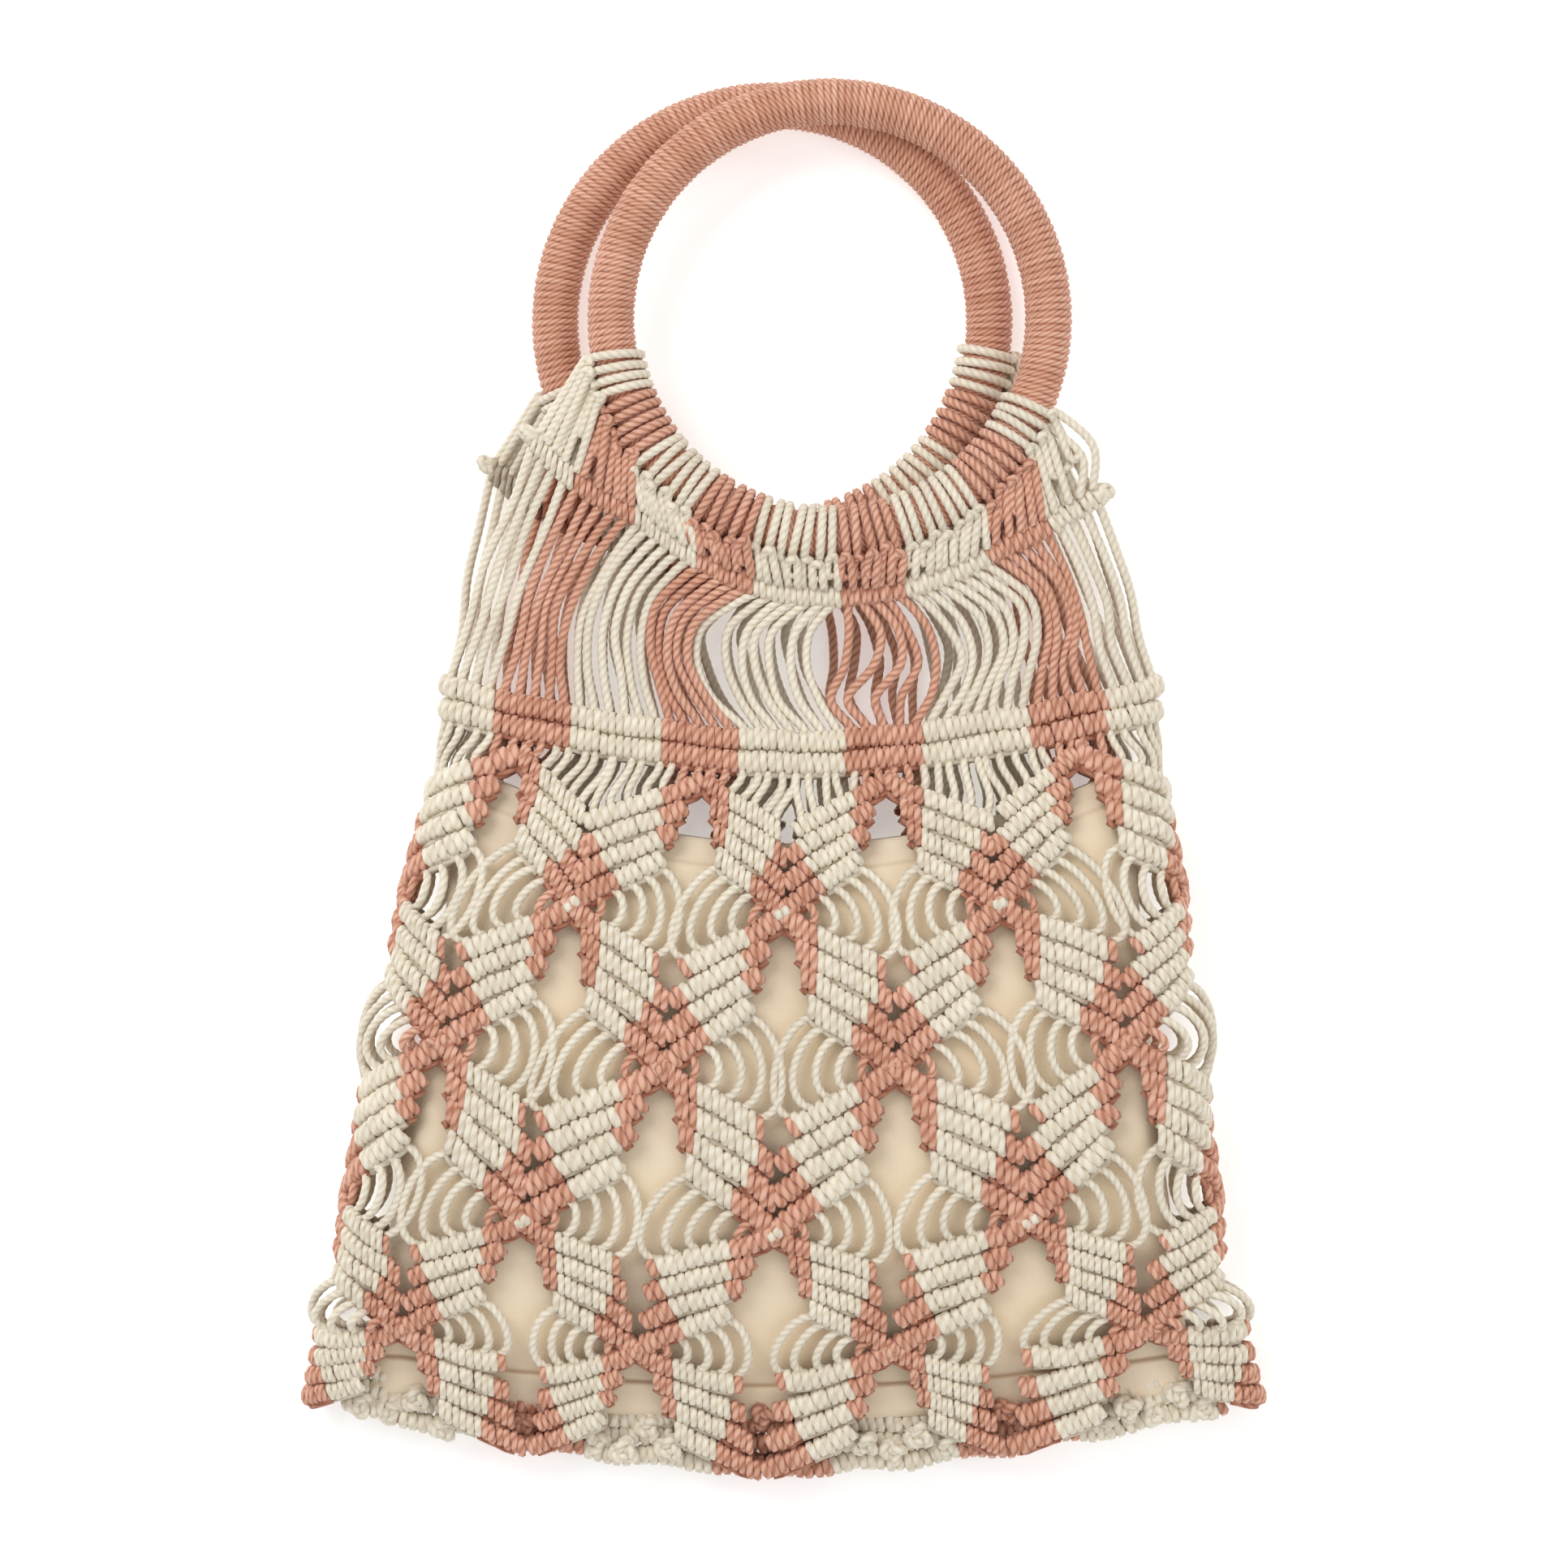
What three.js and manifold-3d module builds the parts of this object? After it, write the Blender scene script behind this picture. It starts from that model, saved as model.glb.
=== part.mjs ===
// Knotted cord tote bag with two wrapped ring handles and a cloth lining, lying flat on its back.
// Millimetres. +X is right, +Y runs from the bag's bottom to its handles, +Z is up from the surface.

import * as THREE from 'three';
import { mergeVertices } from 'three/addons/utils/BufferGeometryUtils.js';
import Module from 'manifold-3d';

// Clearances and cord
const SEAT_GAP = 0.3; // left between two pieces that rest on each other
const CORD_THICKNESS = 3; // one free cord
const KNOT_DEPTH = 6.5; // knotted work, front to back
const CORDS_PER_SIDE = 48;

// Handle rings
const RING_DIAMETER = 160; // outside, over the wrapping
const RING_TUBE = 15.5; // thickness of the wrapped ring
const BACK_RING_SHIFT = -19; // how far the back ring lies to the left of the front one
const FRONT_RING_X = 14.5;
const HANDLE_RISE = 138.6; // from the knotted band up to the rings' centres
const LOOP_WALL = 1.7; // cord loops that mount the bag on its rings

// Collar, the knotted row below each ring
const COLLAR_THICKNESS = 6.8;
const COLLAR_DROP = 20; // the longest way from the loops to the collar
const WEB_THICKNESS = 4; // cord legs between the loops and the collar

// Hanging strands between collar and band
const STRAND_BOW = 32; // the widest sideways bow of a strand
const STRAND_FACET_GAP = 0.8; // collar to strands, room for the collar's flat facets
const STRAND_SEAT = 0.65; // cords to band, room for its flat facets
const STRIPE_INSET = 0.12; // between neighbouring stripes, as a share of a cord's place

// Band
const BAND_HEIGHT = 15;
const BAND_DEPTH = 7.5;
const BAND_RISE = 20; // how much higher its ends lie than its middle
const BAND_REACH = 0.96; // share of the body's half girth

// Body
const BODY_LENGTH = 260; // from the band's ends down to the bottom tips
const BODY_HALF_WIDTH = 158; // at the bottom corners, to the middle of the knotted net
const BODY_DEPTH = 41; // between the middles of front and back net, at the deepest
const BODY_DOME = 2; // swell of the front over the flat back

// Net
const FIRST_ROW_DROP = 2.27; // from the cords' seat under the band down to the first crossings
const FIRST_ROW_SIDE_DROP = 2.06; // how much more it is at the sides
const FRINGE_REACH = 0.34; // the short cords' corner, as a share of a leaf's length
const FAN_BOW = 0.3; // how far a fan of loose cords bows out, as a share of its chord
const FAN_ALONG = 0.5; // where it leaves and meets its leaves, as a share of their length
const FAN_TOP_OUT = -0.12; // its place across the leaf above
const FAN_BOTTOM_OUT = 0.22; // its place across the leaf below
const NET_MARGIN = 0.1; // how far the side outline runs past the net, as a share of its length
const BOTTOM_SEAM_HEIGHT = 8;
const BOTTOM_SEAM_REACH = 0.86; // share of the body's half girth
const BOTTOM_SEAM_SEAT = 0.7; // seam to net, room for the net's flat facets
const BOTTOM_SEAM_RISE = 6; // above the leaves' tips

// Lining
const LINING_WALL = 1.2;
const LINING_GAP = 0.8; // cloth to net
const LINING_MOUTH_DIP = 50; // mouth below the band's ends, in the middle
const LINING_MOUTH_RISE = 22;
const LINING_LENGTH = 188; // mouth to bottom hem, in the middle
const LINING_HEM_RISE = 9;
const LINING_HALF_WIDTH = 130;
const LINING_EDGE_RADIUS = 8;

// Facets
const RING_SIDES = 8;
const COLLAR_FACET = 60; // degrees between the corners of the collar's section
const LOOP_STEPS = 16;
const BARE_RING_STEPS = 20;
const BAND_STEPS = 16;
const STRAND_STEPS = 5;
const SEAM_STEPS = 14;
const BEND_TURNS = [0.5]; // radians round the side where the net's facets bend
const CORNER_WELD = 0.02; // corners of joined plates closer than this are one
const BEND_SNAP = 0.05; // a corner this near a bend counts as on it

const CREAM = 0xe6dcc6;
const PINK = 0xc98470;
const CLOTH = 0xefdcbf;

// Cross-sections of the body. down: share of its length. half and depth: shares of the largest.
// lean: sideways shift as a share of the half width.
const BODY_SECTIONS = [
  { down: -0.06, half: 0.75, depth: 0.58, lean: 0.032 },
  { down: 0.0, half: 0.753, depth: 0.59, lean: 0.032 },
  { down: 0.08, half: 0.752, depth: 0.66, lean: 0.028 },
  { down: 0.16, half: 0.775, depth: 0.84, lean: 0.022 },
  { down: 0.25, half: 0.81, depth: 0.95, lean: 0.016 },
  { down: 0.42, half: 0.862, depth: 1.0, lean: 0.004 },
  { down: 0.56, half: 0.885, depth: 0.97, lean: -0.006 },
  { down: 0.68, half: 0.92, depth: 0.87, lean: -0.01 },
  { down: 0.79, half: 0.962, depth: 0.7, lean: -0.01 },
  { down: 0.905, half: 1.0, depth: 0.44, lean: -0.004 },
  { down: 1.02, half: 1.0, depth: 0.24, lean: 0.0 },
];

// Rows of crossings. down: share of the body's length. rise: how much higher the sides lie, as a share
// of it. spread: how far crossings between the middle and the sides move outwards. shift: sideways.
// The first row hangs from the band, by FIRST_ROW_DROP and FIRST_ROW_SIDE_DROP.
const NET_LEVELS = [
  { spread: -0.08, shift: -0.008 },
  { down: 0.279, rise: 0.035, spread: 0.0, shift: -0.02 },
  { down: 0.479, rise: 0.06, spread: 0.02, shift: -0.016 },
  { down: 0.683, rise: 0.048, spread: 0.1, shift: -0.014 },
  { down: 0.838, rise: 0.05, spread: 0.05, shift: -0.04 },
  { down: 1.0, rise: 0.096, spread: -0.02, shift: -0.05 },
];
const SIDE_RISE_POWER = 1.6;
const HALF_COLUMNS = 4; // quarter steps from the middle of a side to its edge

// One leaf of four knotted rows between an upper and a lower crossing. along and out: shares of the
// distance between the crossings.
const LEAF_OUTLINE = [
  { along: -0.02, out: 0.055 },
  { along: 0.03, out: -0.055 },
  { along: 0.47, out: -0.18 },
  { along: 1.02, out: -0.055 },
  { along: 0.97, out: 0.055 },
  { along: 0.53, out: 0.27 },
];

// Section of the band: two knotted rows with a groove between them, rounded outside and flat inside.
// up: share of its half height. lift: share of its half depth.
const BAND_PROFILE = [
  { up: -1, lift: -1 },
  { up: 1, lift: -1 },
  { up: 1, lift: 0.5 },
  { up: 0.5, lift: 1 },
  { up: 0, lift: 0.6 },
  { up: -0.5, lift: 1 },
  { up: -1, lift: 0.5 },
];

// Outer edge of a fan of loose cords. share: down its chord. reach: share of its bow.
const FAN_BULGES = [
  { share: 0.25, reach: 0.95 },
  { share: 0.75, reach: 0.95 },
];

// Distance from the loops to the collar, by place along the collar, as a share of COLLAR_DROP
const COLLAR_REACH = [
  { along: 0.0, reach: 1.0 },
  { along: 0.08, reach: 0.72 },
  { along: 0.2, reach: 0.22 },
  { along: 0.33, reach: 0.25 },
  { along: 0.45, reach: 0.3 },
  { along: 0.58, reach: 0.32 },
  { along: 0.72, reach: 0.35 },
  { along: 0.84, reach: 0.45 },
  { along: 0.95, reach: 0.8 },
  { along: 1.0, reach: 1.05 },
];

// Angles in degrees, counter-clockwise from +X, of the loops on each ring and of each collar's ends
const FRONT_ARCS = { loopsFrom: 189, loopsTo: 337, collarFrom: 202, collarTo: 327 };
const BACK_ARCS = { loopsFrom: 197, loopsTo: 353, collarFrom: 207, collarTo: 336 };

// Sideways bows of the strands by place across the curtain, as shares of STRAND_BOW
const STRAND_BOWS = [
  { across: 0.0, upper: -0.05, lower: 0.0 },
  { across: 0.15, upper: -0.1, lower: 0.05 },
  { across: 0.3, upper: -1.0, lower: -0.45 },
  { across: 0.42, upper: -0.85, lower: -0.6 },
  { across: 0.5, upper: -0.75, lower: -0.38 },
  { across: 0.55, upper: -0.5, lower: -0.33 },
  { across: 0.57, upper: 0.2, lower: -0.45 },
  { across: 0.61, upper: 0.57, lower: -0.2 },
  { across: 0.65, upper: 0.65, lower: 0.25 },
  { across: 0.7, upper: 0.9, lower: 0.5 },
  { across: 0.85, upper: 0.45, lower: 0.25 },
  { across: 1.0, upper: 0.1, lower: 0.05 },
];

// Cords in each colour stripe, left to right
const STRIPES = [
  { cords: 4, colour: CREAM },
  { cords: 5, colour: PINK },
  { cords: 6, colour: CREAM },
  { cords: 5, colour: PINK },
  { cords: 7, colour: CREAM },
  { cords: 5, colour: PINK },
  { cords: 7, colour: CREAM },
  { cords: 5, colour: PINK },
  { cords: 4, colour: CREAM },
];

// Lining sections from mouth to hem. fill: share of the room between front and back net.
const LINING_SECTIONS = [
  { along: 0.0, half: 0.84, fill: 0.9 },
  { along: 0.2, half: 0.88, fill: 1.0 },
  { along: 0.45, half: 0.93, fill: 1.0 },
  { along: 0.7, half: 0.98, fill: 1.0 },
  { along: 0.88, half: 1.0, fill: 0.95 },
  { along: 1.0, half: 0.98, fill: 0.45 },
];

// Round the lining. across: place between its edges. depth: share of its half depth.
// edge: share of its edge radius.
const LINING_ROUND = [
  { across: 1, depth: 0, edge: 1 },
  { across: 1, depth: 0.7, edge: 0.7 },
  { across: 1, depth: 1, edge: 0 },
  { across: 0.5, depth: 1, edge: 0 },
  { across: 0, depth: 1, edge: 0 },
  { across: -0.5, depth: 1, edge: 0 },
  { across: -1, depth: 1, edge: 0 },
  { across: -1, depth: 0.7, edge: -0.7 },
  { across: -1, depth: 0, edge: -1 },
  { across: -1, depth: -0.7, edge: -0.7 },
  { across: -1, depth: -1, edge: 0 },
  { across: -0.5, depth: -1, edge: 0 },
  { across: 0, depth: -1, edge: 0 },
  { across: 0.5, depth: -1, edge: 0 },
  { across: 1, depth: -1, edge: 0 },
  { across: 1, depth: -0.7, edge: 0.7 },
];

const FRONT = 1;
const BACK = -1;

const wasm = await Module();
wasm.setup();

const ringRadius = (RING_DIAMETER - RING_TUBE) / 2;
const tubeRadius = RING_TUBE / 2;
const loopInner = tubeRadius + SEAT_GAP;
const loopOuter = loopInner + LOOP_WALL;
const facetShare = Math.cos(Math.PI / RING_SIDES); // a facet's distance from the axis, to its corners'
const loopFacet = loopOuter * facetShare;
const tubeFacet = tubeRadius * facetShare;
const collarRadius = COLLAR_THICKNESS / 2;
const halfKnot = KNOT_DEPTH / 2;
const halfBand = BAND_DEPTH / 2;
const bodyMid = BODY_LENGTH / 2;

// Straight-line reading of a table between its rows
function readTable(table, key, place, column) {
  const last = table.length - 1;
  let row = 0;
  while (row < last - 1 && table[row + 1][key] < place) row += 1;
  const low = table[row];
  const high = table[row + 1];
  const share = THREE.MathUtils.clamp((place - low[key]) / (high[key] - low[key]), 0, 1);
  return THREE.MathUtils.lerp(low[column], high[column], share);
}

function bodySection(y) {
  const down = (bodyMid - y) / BODY_LENGTH;
  const half = readTable(BODY_SECTIONS, 'down', down, 'half') * BODY_HALF_WIDTH;
  const radius = (readTable(BODY_SECTIONS, 'down', down, 'depth') * BODY_DEPTH) / 2;
  const lean = readTable(BODY_SECTIONS, 'down', down, 'lean') * BODY_HALF_WIDTH;
  const flat = half - radius;
  return { radius, lean, flat, girth: flat + (radius * Math.PI) / 2 };
}

// Point of the body: s runs round the side from its middle, y up the bag, lift outwards from the net
function onBody(side, s, y, lift) {
  const { radius, lean, flat } = bodySection(y);
  const turn = Math.max(Math.abs(s) - flat, 0) / radius;
  const level = Math.min(Math.abs(s), flat);
  const x = lean + Math.sign(s) * (level + (radius + lift) * Math.sin(turn));
  const swell = side === FRONT ? BODY_DOME * (1 - (level / flat) ** 2) : 0;
  const z = halfKnot + radius + side * (radius + lift) * Math.cos(turn) + swell;
  return new THREE.Vector3(x, y, z);
}

// Crossing of the net, at a quarter step of the side's width
function crossing(levelIndex, column) {
  const level = NET_LEVELS[levelIndex];
  const share = column / HALF_COLUMNS;
  const edge = 1 - share ** 2;
  const bend = Math.abs(share) ** SIDE_RISE_POWER;
  const y =
    levelIndex === 0
      ? bandSeatY(share) - FIRST_ROW_DROP - FIRST_ROW_SIDE_DROP * bend
      : bodyMid - (level.down - level.rise * bend) * BODY_LENGTH;
  const s = bodySection(y).girth * share * (1 + level.spread * edge) + level.shift * edge * BODY_HALF_WIDTH;
  return new THREE.Vector2(s, y);
}

// Triangles of an end cap: a fan from its first point, or a strip between its two long sides
function capFaces(count, ends) {
  const faces = [];
  if (ends === 'fan') {
    for (let j = 1; j < count - 1; j += 1) faces.push([0, j + 1, j]);
  } else {
    for (let j = 0; j < count / 2 - 1; j += 1) {
      const k = count - 1 - j;
      faces.push([j, k, j + 1], [j + 1, k, k - 1]);
    }
  }
  return faces;
}

// Closed solid from equal rings of points: joined end to end, or capped by fans or strips
function loft(rings, ends) {
  const count = rings[0].length;
  const points = rings.flat();
  const faces = [];
  const spans = ends === 'joined' ? rings.length : rings.length - 1;
  for (let i = 0; i < spans; i += 1) {
    const here = i * count;
    const next = ((i + 1) % rings.length) * count;
    for (let j = 0; j < count; j += 1) {
      const k = (j + 1) % count;
      faces.push([here + j, here + k, next + k], [here + j, next + k, next + j]);
    }
  }
  if (ends !== 'joined') {
    const end = (rings.length - 1) * count;
    for (const [a, b, c] of capFaces(count, ends)) faces.push([a, b, c], [end + a, end + c, end + b]);
  }
  return fromFaces(points, faces);
}

// Geometry from points and triangles, turned so that its faces point outwards
function fromFaces(points, faces) {
  let volume = 0;
  for (const [a, b, c] of faces) {
    volume += points[a].dot(new THREE.Vector3().crossVectors(points[b], points[c]));
  }
  const order = volume > 0 ? faces : faces.map(([a, b, c]) => [a, c, b]);
  const geometry = new THREE.BufferGeometry();
  geometry.setFromPoints(points);
  geometry.setIndex(order.flat());
  return geometry;
}

function toManifold(geometry) {
  const bare = new THREE.BufferGeometry();
  bare.setAttribute('position', geometry.getAttribute('position'));
  bare.setIndex(geometry.getIndex());
  const merged = mergeVertices(bare, 1e-5);
  const mesh = new wasm.Mesh({
    numProp: 3,
    vertProperties: new Float32Array(merged.getAttribute('position').array),
    triVerts: new Uint32Array(merged.getIndex().array),
  });
  return new wasm.Manifold(mesh);
}

function makeMesh(name, geometry, colour, roughness = 0.9) {
  const material = new THREE.MeshStandardMaterial({ color: colour, roughness, metalness: 0 });
  const mesh = new THREE.Mesh(geometry, material);
  mesh.name = name;
  return mesh;
}

// Handles: each ring rests on the upper ends of its loops and on its bare top, so it tilts a little
const handles = {
  [FRONT]: {
    x: FRONT_RING_X,
    loopsZ: 3 * loopFacet + SEAT_GAP,
    topZ: 3 * tubeFacet + SEAT_GAP,
    arcs: FRONT_ARCS,
  },
  [BACK]: {
    x: FRONT_RING_X + BACK_RING_SHIFT,
    loopsZ: loopFacet,
    topZ: tubeFacet,
    arcs: BACK_ARCS,
  },
};
for (const handle of Object.values(handles)) {
  const { arcs, loopsZ, topZ } = handle;
  const ends = [arcs.loopsFrom, arcs.loopsTo].map((angle) => Math.sin(THREE.MathUtils.degToRad(angle)));
  const restY = ringRadius * Math.max(...ends);
  const slope = (topZ - loopsZ) / (ringRadius - restY);
  handle.y = bandY(0) + HANDLE_RISE;
  handle.z = loopsZ - slope * restY;
  handle.tilt = Math.atan(slope);
}

// Point of a ring's section circle: angle round the ring, then round its tube
function ringPoint(angle, around, radius) {
  const reach = ringRadius + radius * Math.cos(around);
  return new THREE.Vector3(reach * Math.cos(angle), reach * Math.sin(angle), radius * Math.sin(around));
}

function ringSection(angle, radius) {
  const section = [];
  for (let i = 0; i < RING_SIDES; i += 1) {
    section.push(ringPoint(angle, ((i + 0.5) / RING_SIDES) * 2 * Math.PI, radius));
  }
  return section;
}

// Angles along the loops' arc, shared by the ring, its loops and its collar so that facets match
function loopAngles(arcs) {
  const angles = [];
  for (let i = 0; i <= LOOP_STEPS; i += 1) {
    const angle = THREE.MathUtils.lerp(arcs.loopsFrom, arcs.loopsTo, i / LOOP_STEPS);
    angles.push(THREE.MathUtils.degToRad(angle));
  }
  return angles;
}

function makeRing(side) {
  const angles = loopAngles(handles[side].arcs);
  const start = angles[angles.length - 1];
  const bare = angles[0] + 2 * Math.PI - start;
  for (let i = 1; i < BARE_RING_STEPS; i += 1) angles.push(start + (bare * i) / BARE_RING_STEPS);
  return loft(angles.map((angle) => ringSection(angle, tubeRadius)), 'joined');
}

// Sleeve of cord loops: the outer wall one way, then the inner wall back
function makeLoops(side) {
  const angles = loopAngles(handles[side].arcs);
  const outer = angles.map((angle) => ringSection(angle, loopOuter));
  const inner = angles.map((angle) => ringSection(angle, loopInner)).reverse();
  return loft([...outer, ...inner], 'joined');
}

function placeOnHandle(side, mesh) {
  const handle = handles[side];
  const group = new THREE.Group();
  group.position.set(handle.x, handle.y, handle.z);
  group.rotation.x = handle.tilt;
  group.add(mesh);
  return group;
}

// Band
function bandY(share) {
  return bodyMid - BAND_RISE + BAND_RISE * Math.abs(share) ** SIDE_RISE_POWER;
}

// Where the net's cords end under the band
function bandSeatY(share) {
  return bandY(share) - BAND_HEIGHT / 2 - STRAND_SEAT;
}

function bandPoint(side, share, up, lift) {
  const y = bandY(share);
  return onBody(side, share * bodySection(y).girth, y + up, lift + halfKnot - halfBand);
}

// Place on the band's flat facets, at a share of their whole way from left to right
function bandFacetPoint(side, across, up, lift) {
  const step = Math.min(Math.floor(across * BAND_STEPS), BAND_STEPS - 1);
  const [near, far] = [step, step + 1].map((i) => (
    bandPoint(side, BAND_REACH * ((2 * i) / BAND_STEPS - 1), up, lift)
  ));
  return near.lerp(far, across * BAND_STEPS - step);
}

function makeBand(side) {
  const half = BAND_HEIGHT / 2;
  const rings = [];
  for (let i = 0; i <= BAND_STEPS; i += 1) {
    const share = BAND_REACH * ((2 * i) / BAND_STEPS - 1);
    rings.push(BAND_PROFILE.map(({ up, lift }) => bandPoint(side, share, up * half, lift * halfBand)));
  }
  return loft(rings, 'fan');
}

// Collar
function collarCentre(side, along) {
  const { x, y, arcs } = handles[side];
  const angle = THREE.MathUtils.degToRad(arcs.collarFrom + (arcs.collarTo - arcs.collarFrom) * along);
  const drop = readTable(COLLAR_REACH, 'along', along, 'reach') * COLLAR_DROP;
  const reach = ringRadius + loopOuter + SEAT_GAP + collarRadius + drop;
  const z = side === FRONT ? onBody(FRONT, 0, bandY(0), 0).z : collarRadius;
  return new THREE.Vector3(x + reach * Math.cos(angle), y + reach * Math.sin(angle), z);
}

// Edge of the cord legs, just outside the loops
function legStart(side, angle) {
  const handle = handles[side];
  const seat = ringRadius + loopFacet + SEAT_GAP;
  const local = new THREE.Vector3(seat * Math.cos(angle), seat * Math.sin(angle), 0);
  local.applyEuler(new THREE.Euler(handle.tilt, 0, 0));
  return local.add(new THREE.Vector3(handle.x, handle.y, handle.z));
}

function makeCollar(side) {
  const up = new THREE.Vector3(0, 0, 1);
  const turns = [0, COLLAR_FACET, 2 * COLLAR_FACET].map(THREE.MathUtils.degToRad);
  const rings = loopAngles(handles[side].arcs).map((angle, i) => {
    const start = legStart(side, angle);
    const centre = collarCentre(side, i / LOOP_STEPS);
    const out = centre.clone().sub(start).setZ(0).normalize();
    const knot = (turn) => centre.clone()
      .addScaledVector(out, collarRadius * Math.cos(turn))
      .addScaledVector(up, collarRadius * Math.sin(turn));
    const legs = [1, -1].map((way) => start.clone().addScaledVector(up, (way * WEB_THICKNESS) / 2));
    return [knot(turns[0]), knot(turns[1]), knot(turns[2]), ...legs, knot(-turns[2]), knot(-turns[1])];
  });
  return loft(rings, 'fan');
}

// Lower edge of the collar's flat facets, where the strands leave it
function collarEdge(side, along) {
  const step = Math.min(Math.floor(along * LOOP_STEPS), LOOP_STEPS - 1);
  const [near, far] = [step, step + 1].map((i) => collarCentre(side, i / LOOP_STEPS));
  const way = far.clone().sub(near).normalize();
  const below = new THREE.Vector3(way.y, -way.x, 0);
  return near.lerp(far, along * LOOP_STEPS - step).addScaledVector(below, collarRadius + STRAND_FACET_GAP);
}

// Place of a cord, 0 at the left and 1 at the right, down its way from collar to band
function strandPoint(side, across, down) {
  const top = collarEdge(side, across);
  const end = bandFacetPoint(side, across, BAND_HEIGHT / 2 + STRAND_SEAT, 0);
  const bow = (column) => readTable(STRAND_BOWS, 'across', across, column) * STRAND_BOW;
  const upper = top.clone().lerp(end, 1 / 3).add(new THREE.Vector3(bow('upper'), 0, 0));
  const lower = top.clone().lerp(end, 2 / 3).add(new THREE.Vector3(bow('lower'), 0, 0));
  return new THREE.CubicBezierCurve3(top, upper, lower, end).getPoint(down);
}

// One colour stripe of the curtain: its cords side by side as one ribbon
function makeStrands(side, first, cords) {
  const spans = Math.ceil(cords / 2);
  const width = cords - 2 * STRIPE_INSET;
  const places = Array.from({ length: spans + 1 }, (_, i) => first + STRIPE_INSET + (width * i) / spans);
  const rings = [];
  for (let i = 0; i <= STRAND_STEPS; i += 1) {
    const line = places.map((place) => strandPoint(side, place / CORDS_PER_SIDE, i / STRAND_STEPS));
    const raise = (point, way) => point.clone().setZ(point.z + (way * CORD_THICKNESS) / 2);
    rings.push([...line.map((point) => raise(point, 1)), ...line.reverse().map((point) => raise(point, -1))]);
  }
  return loft(rings, 'strip');
}

// Net: flat plates drawn on the unrolled body, joined there, then wrapped round it
function plate(outline, low, high) {
  const count = outline.length;
  const points = [low, high].flatMap((z) => outline.map((point) => new THREE.Vector3(point.x, point.y, z)));
  const faces = [];
  for (const [a, b, c] of THREE.ShapeUtils.triangulateShape(outline, [])) {
    faces.push([a, c, b], [a + count, b + count, c + count]);
  }
  const way = THREE.ShapeUtils.isClockWise(outline) ? -1 : 1;
  for (let i = 0; i < count; i += 1) {
    const j = (i + way + count) % count;
    faces.push([i, j, j + count], [i, j + count, i + count]);
  }
  return fromFaces(points, faces);
}

// Place on a leaf: along it, and out towards its upper side
function leafPlace(from, to, along, out) {
  const way = new THREE.Vector2().subVectors(to, from);
  const across = new THREE.Vector2(Math.abs(way.y) * Math.sign(way.x), Math.abs(way.x));
  return from.clone().addScaledVector(way, along).addScaledVector(across, out);
}

function makeLeaf(from, to) {
  const outline = LEAF_OUTLINE.map(({ along, out }) => leafPlace(from, to, along, out));
  return plate(outline, -halfKnot, halfKnot);
}

// Fan of loose cords beside a crossing, from the leaf above it to the leaf below it
function makeFan(above, middle, below) {
  const top = leafPlace(above, middle, FAN_ALONG, FAN_TOP_OUT);
  const bottom = leafPlace(middle, below, FAN_ALONG, FAN_BOTTOM_OUT);
  const chord = new THREE.Vector2().subVectors(bottom, top);
  const outwards = new THREE.Vector2(Math.sign(above.x - middle.x), 0);
  const away = outwards.clone().multiplyScalar(chord.length() * FAN_BOW);
  const root = middle.clone().addScaledVector(outwards, -CORD_THICKNESS / 2);
  const bulges = FAN_BULGES.map((row) => (
    top.clone().addScaledVector(chord, row.share).addScaledVector(away, row.reach)
  ));
  return plate([root, top, ...bulges, bottom], -CORD_THICKNESS / 2, CORD_THICKNESS / 2);
}

// Short cords from the band down to the first leaves, between two columns of crossings
function makeFringe(left, right) {
  const low = (left + right) / 2;
  const bandEdge = (column) => {
    const share = THREE.MathUtils.clamp(column / HALF_COLUMNS, -BAND_REACH, BAND_REACH);
    return new THREE.Vector2(share * bodySection(bandY(share)).girth, bandSeatY(share));
  };
  const corner = (column) => leafPlace(crossing(0, column), crossing(1, low), FRINGE_REACH, FRINGE_REACH / 2);
  const outline = [bandEdge(left), bandEdge(low), bandEdge(right)];
  outline.push(crossing(0, right), corner(right), corner(left), crossing(0, left));
  return plate(outline, -CORD_THICKNESS / 2, CORD_THICKNESS / 2);
}

// One side of the net, laid flat: columns count quarter steps from its middle
function makeFlatNet() {
  const last = NET_LEVELS.length - 1;
  const pieces = [];
  for (let column = -HALF_COLUMNS - 1; column < HALF_COLUMNS; column += 2) {
    pieces.push(makeFringe(column, column + 2));
  }
  for (let i = 0; i <= last; i += 1) {
    for (let column = -HALF_COLUMNS + ((i + 1) % 2); column <= HALF_COLUMNS; column += 2) {
      const here = crossing(i, column);
      for (const next of [column - 1, column + 1]) {
        if (Math.abs(next) > HALF_COLUMNS) continue;
        if (i < last) pieces.push(makeLeaf(here, crossing(i + 1, next)));
        if (i > 0 && i < last) pieces.push(makeFan(crossing(i - 1, next), here, crossing(i + 1, next)));
      }
    }
  }
  const whole = pieces.map(toManifold).reduce((sum, piece) => sum.add(piece));
  return whole.intersect(toManifold(plate(sideOutline(), -BODY_DEPTH, BODY_DEPTH)));
}

// The side edges, where the net turns from the front to the back
function sideOutline() {
  const reach = BODY_LENGTH * NET_MARGIN;
  const places = BODY_SECTIONS.map((row) => bodyMid - row.down * BODY_LENGTH);
  places[0] += reach;
  places[places.length - 1] -= reach;
  const edge = (way) => places.map((y) => (
    new THREE.Vector2(way * (bodySection(y).girth - SEAT_GAP / 2), y)
  ));
  return [...edge(1), ...edge(-1).reverse()];
}

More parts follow.
